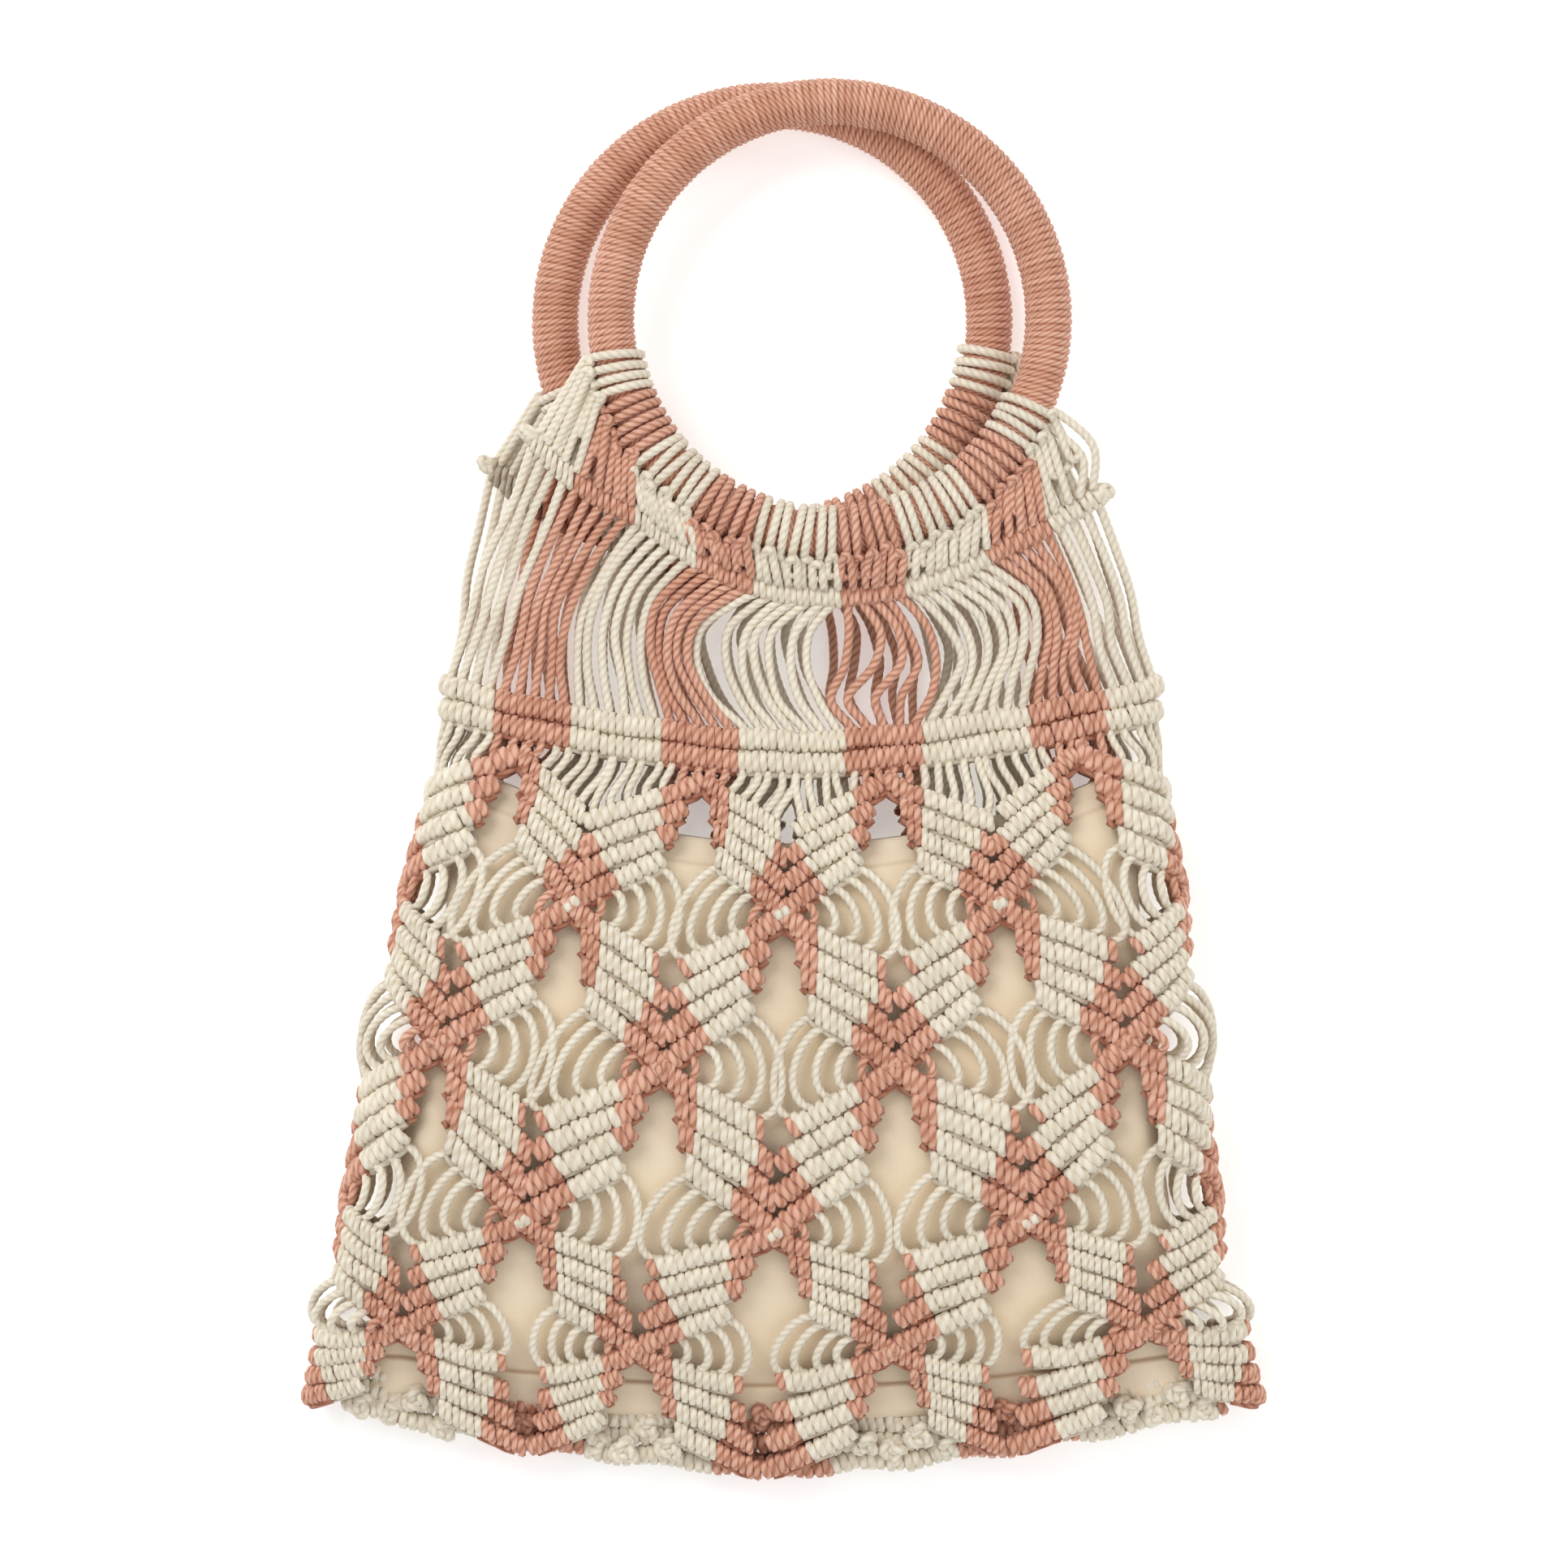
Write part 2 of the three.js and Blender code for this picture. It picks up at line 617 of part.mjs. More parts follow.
// Splits every triangle that crosses one of the lines along which the side bends
function splitAtBend(points, faces, height) {
  const splits = new Map();
  const between = (a, b) => {
    const key = a < b ? `${a} ${b}` : `${b} ${a}`;
    if (!splits.has(key)) {
      splits.set(key, points.length);
      const [low, high] = a < b ? [a, b] : [b, a];
      const share = height(points[low]) / (height(points[low]) - height(points[high]));
      points.push(points[low].clone().lerp(points[high], share));
    }
    return splits.get(key);
  };
  const crosses = (a, b) => height(points[a]) * height(points[b]) < 0
    && Math.min(Math.abs(height(points[a])), Math.abs(height(points[b]))) > BEND_SNAP;
  return faces.flatMap(([a, b, c]) => {
    const turns = [[a, b, c], [b, c, a], [c, a, b]];
    const pair = turns.find(([p, q, r]) => crosses(p, q) && crosses(r, p));
    if (pair) {
      const [p, q, r] = pair;
      const [m, n] = [between(p, q), between(r, p)];
      return [[p, m, n], [m, q, r], [m, r, n]];
    }
    const single = turns.find(([p, q]) => crosses(p, q));
    if (!single) return [[a, b, c]];
    const [p, q, r] = single;
    const m = between(p, q);
    return [[p, m, r], [m, q, r]];
  });
}

// Points and triangles of a joined solid, with corners closer than the weld drawn into one
function readSolid(solid) {
  const mesh = solid.getMesh();
  const geometry = new THREE.BufferGeometry();
  geometry.setAttribute('position', new THREE.BufferAttribute(mesh.vertProperties, 3));
  geometry.setIndex(new THREE.BufferAttribute(mesh.triVerts, 1));
  const welded = mergeVertices(geometry, CORNER_WELD);
  const position = welded.getAttribute('position');
  const points = [];
  for (let i = 0; i < position.count; i += 1) {
    points.push(new THREE.Vector3().fromBufferAttribute(position, i));
  }
  const index = [...welded.getIndex().array];
  const faces = [];
  for (let i = 0; i < index.length; i += 3) faces.push(index.slice(i, i + 3));
  return { points, faces: faces.filter(([a, b, c]) => a !== b && b !== c && c !== a) };
}

function makeNet(side) {
  const { points, faces: flatFaces } = readSolid(makeFlatNet());
  let faces = flatFaces;
  for (const way of [1, -1]) {
    for (const turn of BEND_TURNS) {
      const height = (point) => {
        const { flat: level, radius } = bodySection(point.y);
        return way * point.x - level - radius * turn;
      };
      faces = splitAtBend(points, faces, height);
    }
  }
  return fromFaces(points.map((point) => onBody(side, point.x, point.y, point.z)), faces);
}

// Knotted seam that closes the bottom, between the tips of front and back leaves
function makeBottomSeam() {
  const rings = [];
  const tips = NET_LEVELS[NET_LEVELS.length - 1];
  for (let i = 0; i <= SEAM_STEPS; i += 1) {
    const share = BOTTOM_SEAM_REACH * ((2 * i) / SEAM_STEPS - 1);
    const rise = tips.rise * Math.abs(share) ** SIDE_RISE_POWER;
    const low = bodyMid - (tips.down - rise) * BODY_LENGTH + BOTTOM_SEAM_RISE - BOTTOM_SEAM_HEIGHT / 2;
    const edge = (side) => [low, low + BOTTOM_SEAM_HEIGHT].map((y) => (
      onBody(side, share * bodySection(y).girth, y, -halfKnot - BOTTOM_SEAM_SEAT)
    ));
    rings.push([...edge(FRONT), ...edge(BACK).reverse()]);
  }
  return loft(rings, 'fan');
}

// Lining: an open pouch between the nets, its outer wall down and its inner wall up again
function liningPoint(section, place, inset) {
  const flat = section.half * LINING_HALF_WIDTH - LINING_EDGE_RADIUS;
  const s = place.across * flat;
  const mouthY = bodyMid - LINING_MOUTH_DIP + LINING_MOUTH_RISE * place.across ** 2;
  const hemY = bodyMid - LINING_MOUTH_DIP - LINING_LENGTH + LINING_HEM_RISE * place.across ** 2;
  const y = THREE.MathUtils.lerp(mouthY, hemY, section.along);
  const clear = -halfKnot - LINING_GAP;
  const upper = onBody(FRONT, s, y, clear);
  const lower = onBody(BACK, s, y, clear);
  const middle = (upper.z + lower.z) / 2;
  const half = ((upper.z - lower.z) / 2) * section.fill - inset;
  const edge = LINING_EDGE_RADIUS - inset;
  return new THREE.Vector3(upper.x + place.edge * edge, y, middle + place.depth * half);
}

function makeLining() {
  const wall = (sections, inset) => sections.map((section) => (
    LINING_ROUND.map((place) => liningPoint(section, place, inset))
  ));
  const outer = wall(LINING_SECTIONS, 0);
  const last = LINING_SECTIONS[LINING_SECTIONS.length - 1];
  const floor = { ...last, along: 1 - (2 * LINING_WALL) / LINING_LENGTH };
  const inside = [...LINING_SECTIONS.slice(0, -1), floor];
  const inner = wall(inside, LINING_WALL);
  return loft([...outer.reverse(), ...inner], 'fan');
}

// Assembly
const bag = new THREE.Group();
for (const [side, word] of [[FRONT, 'front'], [BACK, 'back']]) {
  bag.add(placeOnHandle(side, makeMesh(`handle_ring_${word}`, makeRing(side), PINK)));
  bag.add(placeOnHandle(side, makeMesh(`mount_loops_${word}`, makeLoops(side), CREAM)));
  bag.add(makeMesh(`collar_${word}`, makeCollar(side), CREAM));
  let first = 0;
  STRIPES.forEach(({ cords, colour }, i) => {
    bag.add(makeMesh(`strands_${word}_${i + 1}`, makeStrands(side, first, cords), colour));
    first += cords;
  });
  bag.add(makeMesh(`band_${word}`, makeBand(side), CREAM));
  bag.add(makeMesh(`net_${word}`, makeNet(side), CREAM));
}
bag.add(makeMesh('bottom_seam', makeBottomSeam(), PINK));
bag.add(makeMesh('lining', makeLining(), CLOTH, 0.85));

// The origin is the middle of the bag on the surface that it lies on
bag.updateMatrixWorld(true);
const extent = new THREE.Box3().setFromObject(bag, true);
const centre = extent.getCenter(new THREE.Vector3());
bag.position.set(-centre.x, -centre.y, -extent.min.z);

export default bag;
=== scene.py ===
"""Looks of the knotted cord tote bag: knots, cords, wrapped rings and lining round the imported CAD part."""

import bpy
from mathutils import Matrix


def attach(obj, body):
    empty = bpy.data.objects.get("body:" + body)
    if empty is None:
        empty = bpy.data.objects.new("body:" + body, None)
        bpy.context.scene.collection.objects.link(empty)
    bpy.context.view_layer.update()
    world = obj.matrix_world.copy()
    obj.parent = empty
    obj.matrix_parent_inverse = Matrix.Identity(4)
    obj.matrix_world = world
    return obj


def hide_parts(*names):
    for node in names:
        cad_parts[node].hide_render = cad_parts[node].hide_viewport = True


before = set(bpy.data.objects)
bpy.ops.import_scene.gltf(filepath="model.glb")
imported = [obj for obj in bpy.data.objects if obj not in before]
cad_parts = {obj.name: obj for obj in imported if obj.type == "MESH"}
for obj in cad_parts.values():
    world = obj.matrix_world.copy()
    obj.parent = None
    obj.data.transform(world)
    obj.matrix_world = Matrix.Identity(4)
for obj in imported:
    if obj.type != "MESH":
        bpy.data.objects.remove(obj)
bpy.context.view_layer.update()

import math

import bpy
import numpy as np

SEED = 11
RNG = np.random.default_rng(SEED)
FRONT, BACK = 1, -1
WORDS = {FRONT: "front", BACK: "back"}

# Sizes in mm, in the CAD part's own frame before it is centred
CAD_SHIFT = np.array([0.5757, -99.7875, 0.0588])
BODY_LENGTH = 260.0
BODY_MID = BODY_LENGTH / 2
HALF_WIDTH = 158.0
DEPTH = 41.0
DOME = 2.0  # swell of the front
HALF_KNOT = 3.25  # half the net's thickness
BAND_RISE = 20.0  # of the band's ends over its middle
BAND_REACH = 0.96  # share of the body's half girth
BAND_HALF = 7.5  # half its height
BAND_ROW_HEIGHT = 8.1
HALF_BAND = 3.75  # half its thickness
SIDE_POWER = 1.6
RING_RADIUS = 72.25
TUBE_RADIUS = 7.75
LOOPS_RADIUS = 9.75
COLLAR_GAP = 0.3
COLLAR_RADIUS = 3.4
COLLAR_DROP = 20.0
CORDS = 48  # to a side
CORD = 1.45  # radius of a free cord
FILLER_STEP = 3.0
PLIES = 3.0
PLY_PITCH = 2.8  # between ply lines along a cord
STEP = PLY_PITCH / 2
SIDES = 6  # of a cord's section

# Half hitches
KNOT_STEPS = {FRONT: 7, BACK: 6}
ROUND_STEPS = 10  # where the cord goes right round
KNOT_JITTER = 0.16
KNOT_TUBE_DEEP = 0.21  # tube's radius outwards, as a share of the row's thickness
KNOT_TUBE_WIDE = 0.61  # along the row, as a share of the knot's width
KNOT_SQUARE = 0.76  # below 1 the bend is squarer than an ellipse
# Painted shade on the filler cords that lie in the creases between knot rows
CREASE_SHADE = 0.72

# Body sections: shares of its length, half width and depth, and the sideways lean
SECTION_DOWN = [-0.06, 0.0, 0.08, 0.16, 0.25, 0.42, 0.56, 0.68, 0.79, 0.905, 1.02]
SECTION_HALF = [0.75, 0.753, 0.752, 0.775, 0.81, 0.862, 0.885, 0.92, 0.962, 1.0, 1.0]
SECTION_DEPTH = [0.58, 0.59, 0.66, 0.84, 0.95, 1.0, 0.97, 0.87, 0.7, 0.44, 0.24]
SECTION_LEAN = [0.032, 0.032, 0.028, 0.022, 0.016, 0.004, -0.006, -0.01, -0.01, -0.004, 0.0]

# Rows of crossings: down, rise, spread and shift, as in the CAD
LEVELS = [
    (0.117, 0.069, -0.08, -0.008),
    (0.279, 0.035, 0.0, -0.02),
    (0.479, 0.06, 0.02, -0.016),
    (0.683, 0.048, 0.1, -0.014),
    (0.838, 0.05, 0.05, -0.04),
    (1.0, 0.096, -0.02, -0.05),
]
COLUMNS = 4  # quarter steps from the middle of a side to its edge

# Knotted rows of a leaf: places as shares along and out, (knots, colour) from its upper crossing, and the
# gap in mm that it leaves to the slit above its lower crossing. The slits gape below the first leaves.
FIRST_LEAVES = 80.0
GAPE = 1.7
LEAF_ROWS = [
    (
        [(0.0, 0.0), (0.144, 0.037), (0.256, 0.10), (0.395, 0.168), (0.529, 0.233)],
        [(5, "pink"), (9, "cream")],
        2.7,
    ),
    (
        [(0.183, -0.045), (0.32, 0.003), (0.464, 0.08), (0.602, 0.14), (0.72, 0.18)],
        [(3, "pink"), (8, "cream"), (2, "pink")],
        2.2,
    ),
    (
        [(0.312, -0.103), (0.505, -0.036), (0.667, 0.039), (0.87, 0.09)],
        [(2, "pink"), (7, "cream"), (4, "pink")],
        1.6,
    ),
    (
        [(0.464, -0.162), (0.548, -0.143), (0.732, -0.079), (0.85, -0.031), (1.0, 0.0)],
        [(6, "cream"), (6, "pink")],
        0.0,
    ),
]

# Place and tilt of each ring, and the arcs of its loops and collar in degrees
HANDLES = {
    FRONT: {
        "x": 14.5, "y": 253.6, "z": 26.5736, "tilt": -0.066248,
        "loops": (189, 337), "collar": (202, 327),
    },
    BACK: {
        "x": -4.5, "y": 253.6, "z": 8.8071, "tilt": -0.0227924,
        "loops": (197, 353), "collar": (207, 336),
    },
}
# Share of COLLAR_DROP by which the collar hangs off its ring, along the collar
REACH_ALONG = [0.0, 0.08, 0.2, 0.33, 0.45, 0.58, 0.72, 0.84, 0.95, 1.0]
REACH_SHARE = [1.0, 0.72, 0.22, 0.25, 0.3, 0.32, 0.35, 0.45, 0.8, 1.05]
# Cord number, then its sideways bow in mm at a quarter, half and three quarters of its way down
BOWS = [
    (0, 0.0, -1.0, 0.0),
    (4, -1.5, -3.0, -1.5),
    (8, -6.0, -9.4, -6.0),
    (9, -7.0, -9.0, -5.6),
    (14, -10.7, -10.2, -5.6),
    (15, -11.8, -11.2, -6.7),
    (19, -16.4, -17.0, -10.5),
    (20, -18.0, -18.5, -11.5),
    (21, -12.5, -12.5, -8.5),
    (22, -12.0, -12.0, -8.5),
    (24, -12.0, -12.5, -8.5),
    (26, -8.5, -9.5, -6.5),
    (27, 1.0, -3.0, -8.0),
    (28, 5.0, 2.0, -7.0),
    (29, 6.5, 6.6, -1.0),
    (30, 7.0, 7.5, 2.0),
    (31, 7.5, 10.5, 6.0),
    (32, 10.5, 12.6, 8.0),
    (35, 13.0, 13.4, 5.4),
    (38, 11.8, 11.0, 4.5),
    (39, 11.5, 11.0, 5.4),
    (41, 8.0, 8.0, 2.0),
    (43, 3.2, 3.0, 0.0),
    (44, 2.5, 2.0, 0.0),
    (47, 1.0, 1.0, 0.0),
]
BACK_BOW = 0.6  # share of the front cords' bow
STRIPES = [
    (4, "cream"), (5, "pink"), (6, "cream"), (5, "pink"), (7, "cream"),
    (5, "pink"), (7, "cream"), (5, "pink"), (4, "cream"),
]
CORD_COLOURS = [colour for count, colour in STRIPES for _ in range(count)]


# Body surface
def section(y):
    """Side radius, lean, half width of the flat part and half girth at a height."""
    down = (BODY_MID - y) / BODY_LENGTH
    half = np.interp(down, SECTION_DOWN, SECTION_HALF) * HALF_WIDTH
    radius = np.interp(down, SECTION_DOWN, SECTION_DEPTH) * DEPTH / 2
    lean = np.interp(down, SECTION_DOWN, SECTION_LEAN) * HALF_WIDTH
    flat = half - radius
    return radius, lean, flat, flat + radius * math.pi / 2


def on_body(side, s, y, lift):
    """Point of the net: s round the side from its middle, y up the bag, lift outwards."""
    s, y, lift = np.broadcast_arrays(np.asarray(s, float), np.asarray(y, float), np.asarray(lift, float))
    radius, lean, flat, _ = section(y)
    turn = np.maximum(np.abs(s) - flat, 0) / radius
    level = np.minimum(np.abs(s), flat)
    x = lean + np.sign(s) * (level + (radius + lift) * np.sin(turn))
    swell = DOME * (1 - (level / flat) ** 2) if side == FRONT else 0.0
    z = HALF_KNOT + radius + side * (radius + lift) * np.cos(turn) + swell
    return np.stack([x, y, z], axis=-1)


def body_normal(side, s, y):
    e = 0.5
    ds = on_body(side, s + e, y, 0) - on_body(side, s - e, y, 0)
    dy = on_body(side, s, y + e, 0) - on_body(side, s, y - e, 0)
    n = np.cross(ds, dy) * side
    return n / np.linalg.norm(n, axis=-1, keepdims=True)


def crossing(level, column):
    down, rise, spread, shift = LEVELS[level]
    share = column / COLUMNS
    edge = 1 - share**2
    y = BODY_MID - (down - rise * abs(share) ** SIDE_POWER) * BODY_LENGTH
    s = section(y)[3] * share * (1 + spread * edge) + shift * edge * HALF_WIDTH
    return np.array([s, y])


def leaf_place(a, b, along, out):
    """Place in the leaf between two crossings, in shares of the way from a to b."""
    way = b - a
    across = np.array([abs(way[1]) * np.sign(way[0]), abs(way[0])])
    return a + way * along + across * out


def band_y(share):
    return BODY_MID - BAND_RISE + BAND_RISE * np.abs(share) ** SIDE_POWER


def band_point(side, share, up, lift):
    y = band_y(share)
    return on_body(side, share * section(y)[3], y + up, lift + HALF_KNOT - HALF_BAND)


# Paths
def along_path(points, places):
    """Points at shares of a path's length."""
    points = np.asarray(points, float)
    steps = np.linalg.norm(np.diff(points, axis=0), axis=1)
    length = np.concatenate([[0], np.cumsum(steps)])
    at = np.asarray(places) * length[-1]
    return np.stack([np.interp(at, length, points[:, i]) for i in range(points.shape[1])], axis=-1)


def smooth(points, per=8):
    """Catmull-Rom curve through the points."""
    p = np.asarray(points, float)
    p = np.vstack([2 * p[0] - p[1], p, 2 * p[-1] - p[-2]])
    t = np.linspace(0, 1, per, endpoint=False)[:, None]
    out = []
    for i in range(1, len(p) - 2):
        a, b, c, d = p[i - 1], p[i], p[i + 1], p[i + 2]
        square = (2 * a - 5 * b + 4 * c - d) * t**2
        cube = (3 * b - a - 3 * c + d) * t**3
        out.append(0.5 * (2 * b + (c - a) * t + square + cube))
    return np.vstack(out + [p[-2][None]])


def bezier(a, b, c, d, count):
    t = np.linspace(0, 1, count)[:, None]
    a, b, c, d = (np.asarray(p, float) for p in (a, b, c, d))
    return a * (1 - t) ** 3 + 3 * b * t * (1 - t) ** 2 + 3 * c * t**2 * (1 - t) + d * t**3


def unit(v):
    return v / np.maximum(np.linalg.norm(v, axis=-1, keepdims=True), 1e-9)


class Cords:
    """Collects twisted tubes of one piece: points, faces, ply coordinates and shade, which is each cord's random
    tone times any painted shade.
    """

    def __init__(self):
        self.points, self.faces, self.uvs, self.shades = [], [], [], []
        self.count = 0

    def add(self, rings, lengths, shade):
        """rings: (tubes, steps, SIDES, 3). lengths: mm along each tube. shade: (tubes, steps), random tone times
        painted shade.
        """
        tubes, steps, sides = rings.shape[:3]
        ring = np.arange(tubes * steps * sides).reshape(tubes, steps, sides) + self.count
        here, there = ring[:, :-1], ring[:, 1:]
        a, b = here, np.roll(here, -1, axis=2)
        c, d = there, np.roll(there, -1, axis=2)
        self.faces += [np.stack([a, b, c], -1).reshape(-1, 3), np.stack([b, d, c], -1).reshape(-1, 3)]
        k = np.arange(sides) / sides
        u = np.broadcast_to(lengths[:, :-1, None], a.shape)
        w = np.broadcast_to(lengths[:, 1:, None], a.shape)
        v = np.broadcast_to(k, a.shape)
        n = v + 1 / sides
        first = np.stack([u, v, u, n, w, v], -1).reshape(-1, 3, 2)
        second = np.stack([u, n, w, n, w, v], -1).reshape(-1, 3, 2)
        self.uvs += [first, second]
        for i, order in ((0, -1), (steps - 1, 1)):
            rim = ring[:, i][:, ::order]
            for j in range(1, sides - 1):
                self.faces.append(np.stack([rim[:, 0], rim[:, j], rim[:, j + 1]], -1))
                flat = np.zeros((tubes, 3, 2))
                flat[..., 0] = lengths[:, i][:, None]
                flat[..., 1] = np.array([0, j, j + 1]) / sides
                self.uvs.append(flat)
        self.points.append(rings.reshape(-1, 3))
        self.shades.append(np.repeat(shade.reshape(-1), sides))
        self.count += tubes * steps * sides

    def tube(self, path, up, radius=CORD, step=STEP, shade=None):
        """One twisted cord along a path. up: a direction, or one for each point, that isn't along it. shade:
        painted shade for a filler cord, else a random tone.
        """
        path = np.asarray(path, float)
        total = np.linalg.norm(np.diff(path, axis=0), axis=1).sum()
        steps = max(int(round(total / step)), 2) + 1
        places = np.linspace(0, 1, steps)
        up = np.broadcast_to(np.asarray(up, float), path.shape)
        # the directions go along scaled down, so that they add nothing to the path's length
        joined = along_path(np.hstack([path, up * 1e-6]), places)
        centre, up = joined[:, :3], unit(joined[:, 3:])
        tangent = unit(np.gradient(centre, axis=0))
        side = unit(np.cross(tangent, up))
        normal = np.cross(side, tangent)
        first = int(RNG.integers(2))
        lobe = np.where((np.arange(steps)[:, None] + np.arange(SIDES) + first) % 2 == 0, 1.05, 0.93)
        turn = np.arange(SIDES) / SIDES * 2 * math.pi
        offset = np.cos(turn)[None, :, None] * side[:, None] + np.sin(turn)[None, :, None] * normal[:, None]
        rings = centre[:, None] + offset * (lobe * radius)[..., None]
        # A cord's own random tone, or the painted shade given for a filler cord in a crease
        tone_and_painted_shade = RNG.uniform(0.94, 1.04) if shade is None else shade
        lengths = (np.arange(steps) + first) * PLY_PITCH / 2
        self.add(rings[None], lengths[None].astype(float), np.full((1, steps), tone_and_painted_shade))

    def wraps(
        self, centre, t, n, height, thick, width, lean=0.0, spread=125, steps=ROUND_STEPS, slack=0.06, under=0.55
    ):
        """Half hitches over a core: centre, row direction t and outward n of each, as (count, 3).

        spread: degrees that the cord bends to each side of n, 180 for right round. under: the painted shade's
        level where the cord turns in towards the core.
        """
        count = len(centre)
        if count == 0:
            return
        b = np.cross(n, t)
        centre = centre + RNG.normal(0, KNOT_JITTER, (count, 3))
        around = np.radians(np.linspace(90 - spread, 90 + spread, steps + 1))
        tube_n = thick * KNOT_TUBE_DEEP
        tube_t = width * KNOT_TUBE_WIDE
        reach_b = (height / 2 - tube_n) * (1 + RNG.uniform(-slack, slack, count))
        reach_n = (thick / 2 - tube_n) * (1 + RNG.uniform(-slack, slack, count))
        lean = np.broadcast_to(lean, (count,)) + RNG.uniform(-0.05, 0.05, count)
        c, s = np.cos(around), np.sin(around)
        c = np.sign(c) * np.abs(c) ** KNOT_SQUARE
        s = np.sign(s) * np.abs(s) ** KNOT_SQUARE
        path = (
            centre[:, None]
            + (reach_b[:, None] * c)[..., None] * b[:, None]
            + (reach_n[:, None] * s)[..., None] * n[:, None]
            + (lean[:, None] * reach_b[:, None] * c)[..., None] * t[:, None]
        )
        radial = unit(
            (reach_n[:, None] * c)[..., None] * b[:, None] + (reach_b[:, None] * s)[..., None] * n[:, None]
        )
        turn = np.arange(SIDES) / SIDES * 2 * math.pi
        first = RNG.integers(2, size=count)
        places = np.arange(steps + 1)
        parity = (places[None, :, None] + np.arange(SIDES)[None, None] + first[:, None, None]) % 2
        lobe = np.where(parity == 0, 1.04, 0.93)
        tuck = 1 - 0.25 * np.abs(2 * np.linspace(0, 1, steps + 1) - 1) ** 4
        if spread >= 180:
            tuck[:] = 1
        # the section's first axis runs along the row
        cos, sin = np.cos(turn), np.sin(turn)
        offset = (
            (cos * tube_t)[None, None, :, None] * -t[:, None, None]
            + (sin * tube_n)[None, None, :, None] * radial[:, :, None]
        )
        rings = path[:, :, None] + offset * (lobe * tuck[None, :, None])[..., None]
        lengths = (places[None] + first[:, None]) * PLY_PITCH / 2
        # Painted shade: each wrap goes darker where it turns in towards the core and tucks under, times each
        # knot's random tone
        lit = under + (1 - under) * np.clip(s * 1.3 + 0.35, 0, 1)
        tone_and_painted_shade = RNG.uniform(0.93, 1.04, count)[:, None] * lit[None]
        self.add(rings, lengths.astype(float), tone_and_painted_shade)

    def mesh(self, name, material, slot, *nodes):
        points = (np.vstack(self.points) + CAD_SHIFT) / 1000
        faces = np.vstack(self.faces)
        mesh = bpy.data.meshes.new(name)
        mesh.vertices.add(len(points))
        mesh.vertices.foreach_set("co", points.astype(np.float32).ravel())
        mesh.loops.add(len(faces) * 3)
        mesh.loops.foreach_set("vertex_index", faces.astype(np.int32).ravel())
        mesh.polygons.add(len(faces))
        mesh.polygons.foreach_set("loop_start", np.arange(len(faces), dtype=np.int32) * 3)
        uv = mesh.uv_layers.new(name="cord")
        uv.data.foreach_set("uv", np.vstack([f.reshape(-1, 2) for f in self.uvs]).astype(np.float32).ravel())
        shade = mesh.attributes.new("shade", "FLOAT", "POINT")
        shade.data.foreach_set("value", np.concatenate(self.shades).astype(np.float32))
        mesh.update()
        mesh.validate()
        mesh.polygons.foreach_set("use_smooth", np.ones(len(mesh.polygons), dtype=bool))
        piece = bpy.data.objects.new(name, mesh)
        bpy.context.scene.collection.objects.link(piece)
        mesh.materials.append(material)
        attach(piece, "root")
        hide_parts(*nodes)


# Materials
class Nodes:
    """Short hand for building a node tree."""

    def __init__(self, name):
        self.material = bpy.data.materials.new(name)
        self.material.use_nodes = True
        self.tree = self.material.node_tree
        self.shader = self.tree.nodes["Principled BSDF"]

    def node(self, kind, **values):
        made = self.tree.nodes.new(kind)
        for key, value in values.items():
            setattr(made, key, value)
        return made

    def link(self, source, target):
        self.tree.links.new(source, target)

    def put(self, socket, value):
        if isinstance(value, bpy.types.NodeSocket):
            self.link(value, socket)
        else:
            socket.default_value = value

    def math(self, operation, a, b=0.0, clamp=False):
        made = self.node("ShaderNodeMath", operation=operation, use_clamp=clamp)
        self.put(made.inputs[0], a)
        self.put(made.inputs[1], b)
        return made.outputs[0]

    def mix(self, share, a, b, blend="MIX"):
        made = self.node("ShaderNodeMix", data_type="RGBA", blend_type=blend)
        self.put(made.inputs[0], share)
        self.put(made.inputs[6], a)
        self.put(made.inputs[7], b)
        return made.outputs[2]

    def noise(self, vector, scale, detail):
        made = self.node("ShaderNodeTexNoise")
        self.put(made.inputs["Vector"], vector)
        made.inputs["Scale"].default_value = scale
        made.inputs["Detail"].default_value = detail
        return made.outputs["Fac"]

    def ramp(self, value, low, high, to_low=0.0, to_high=1.0):
        made = self.node("ShaderNodeMapRange", interpolation_type="SMOOTHSTEP")
        for socket, number in zip(made.inputs, (value, low, high, to_low, to_high)):
            self.put(socket, number)
        return made.outputs[0]

    def combine(self, x, y, z):
        made = self.node("ShaderNodeCombineXYZ")
        for socket, value in zip(made.inputs, (x, y, z)):
            self.put(socket, value)
        return made.outputs[0]


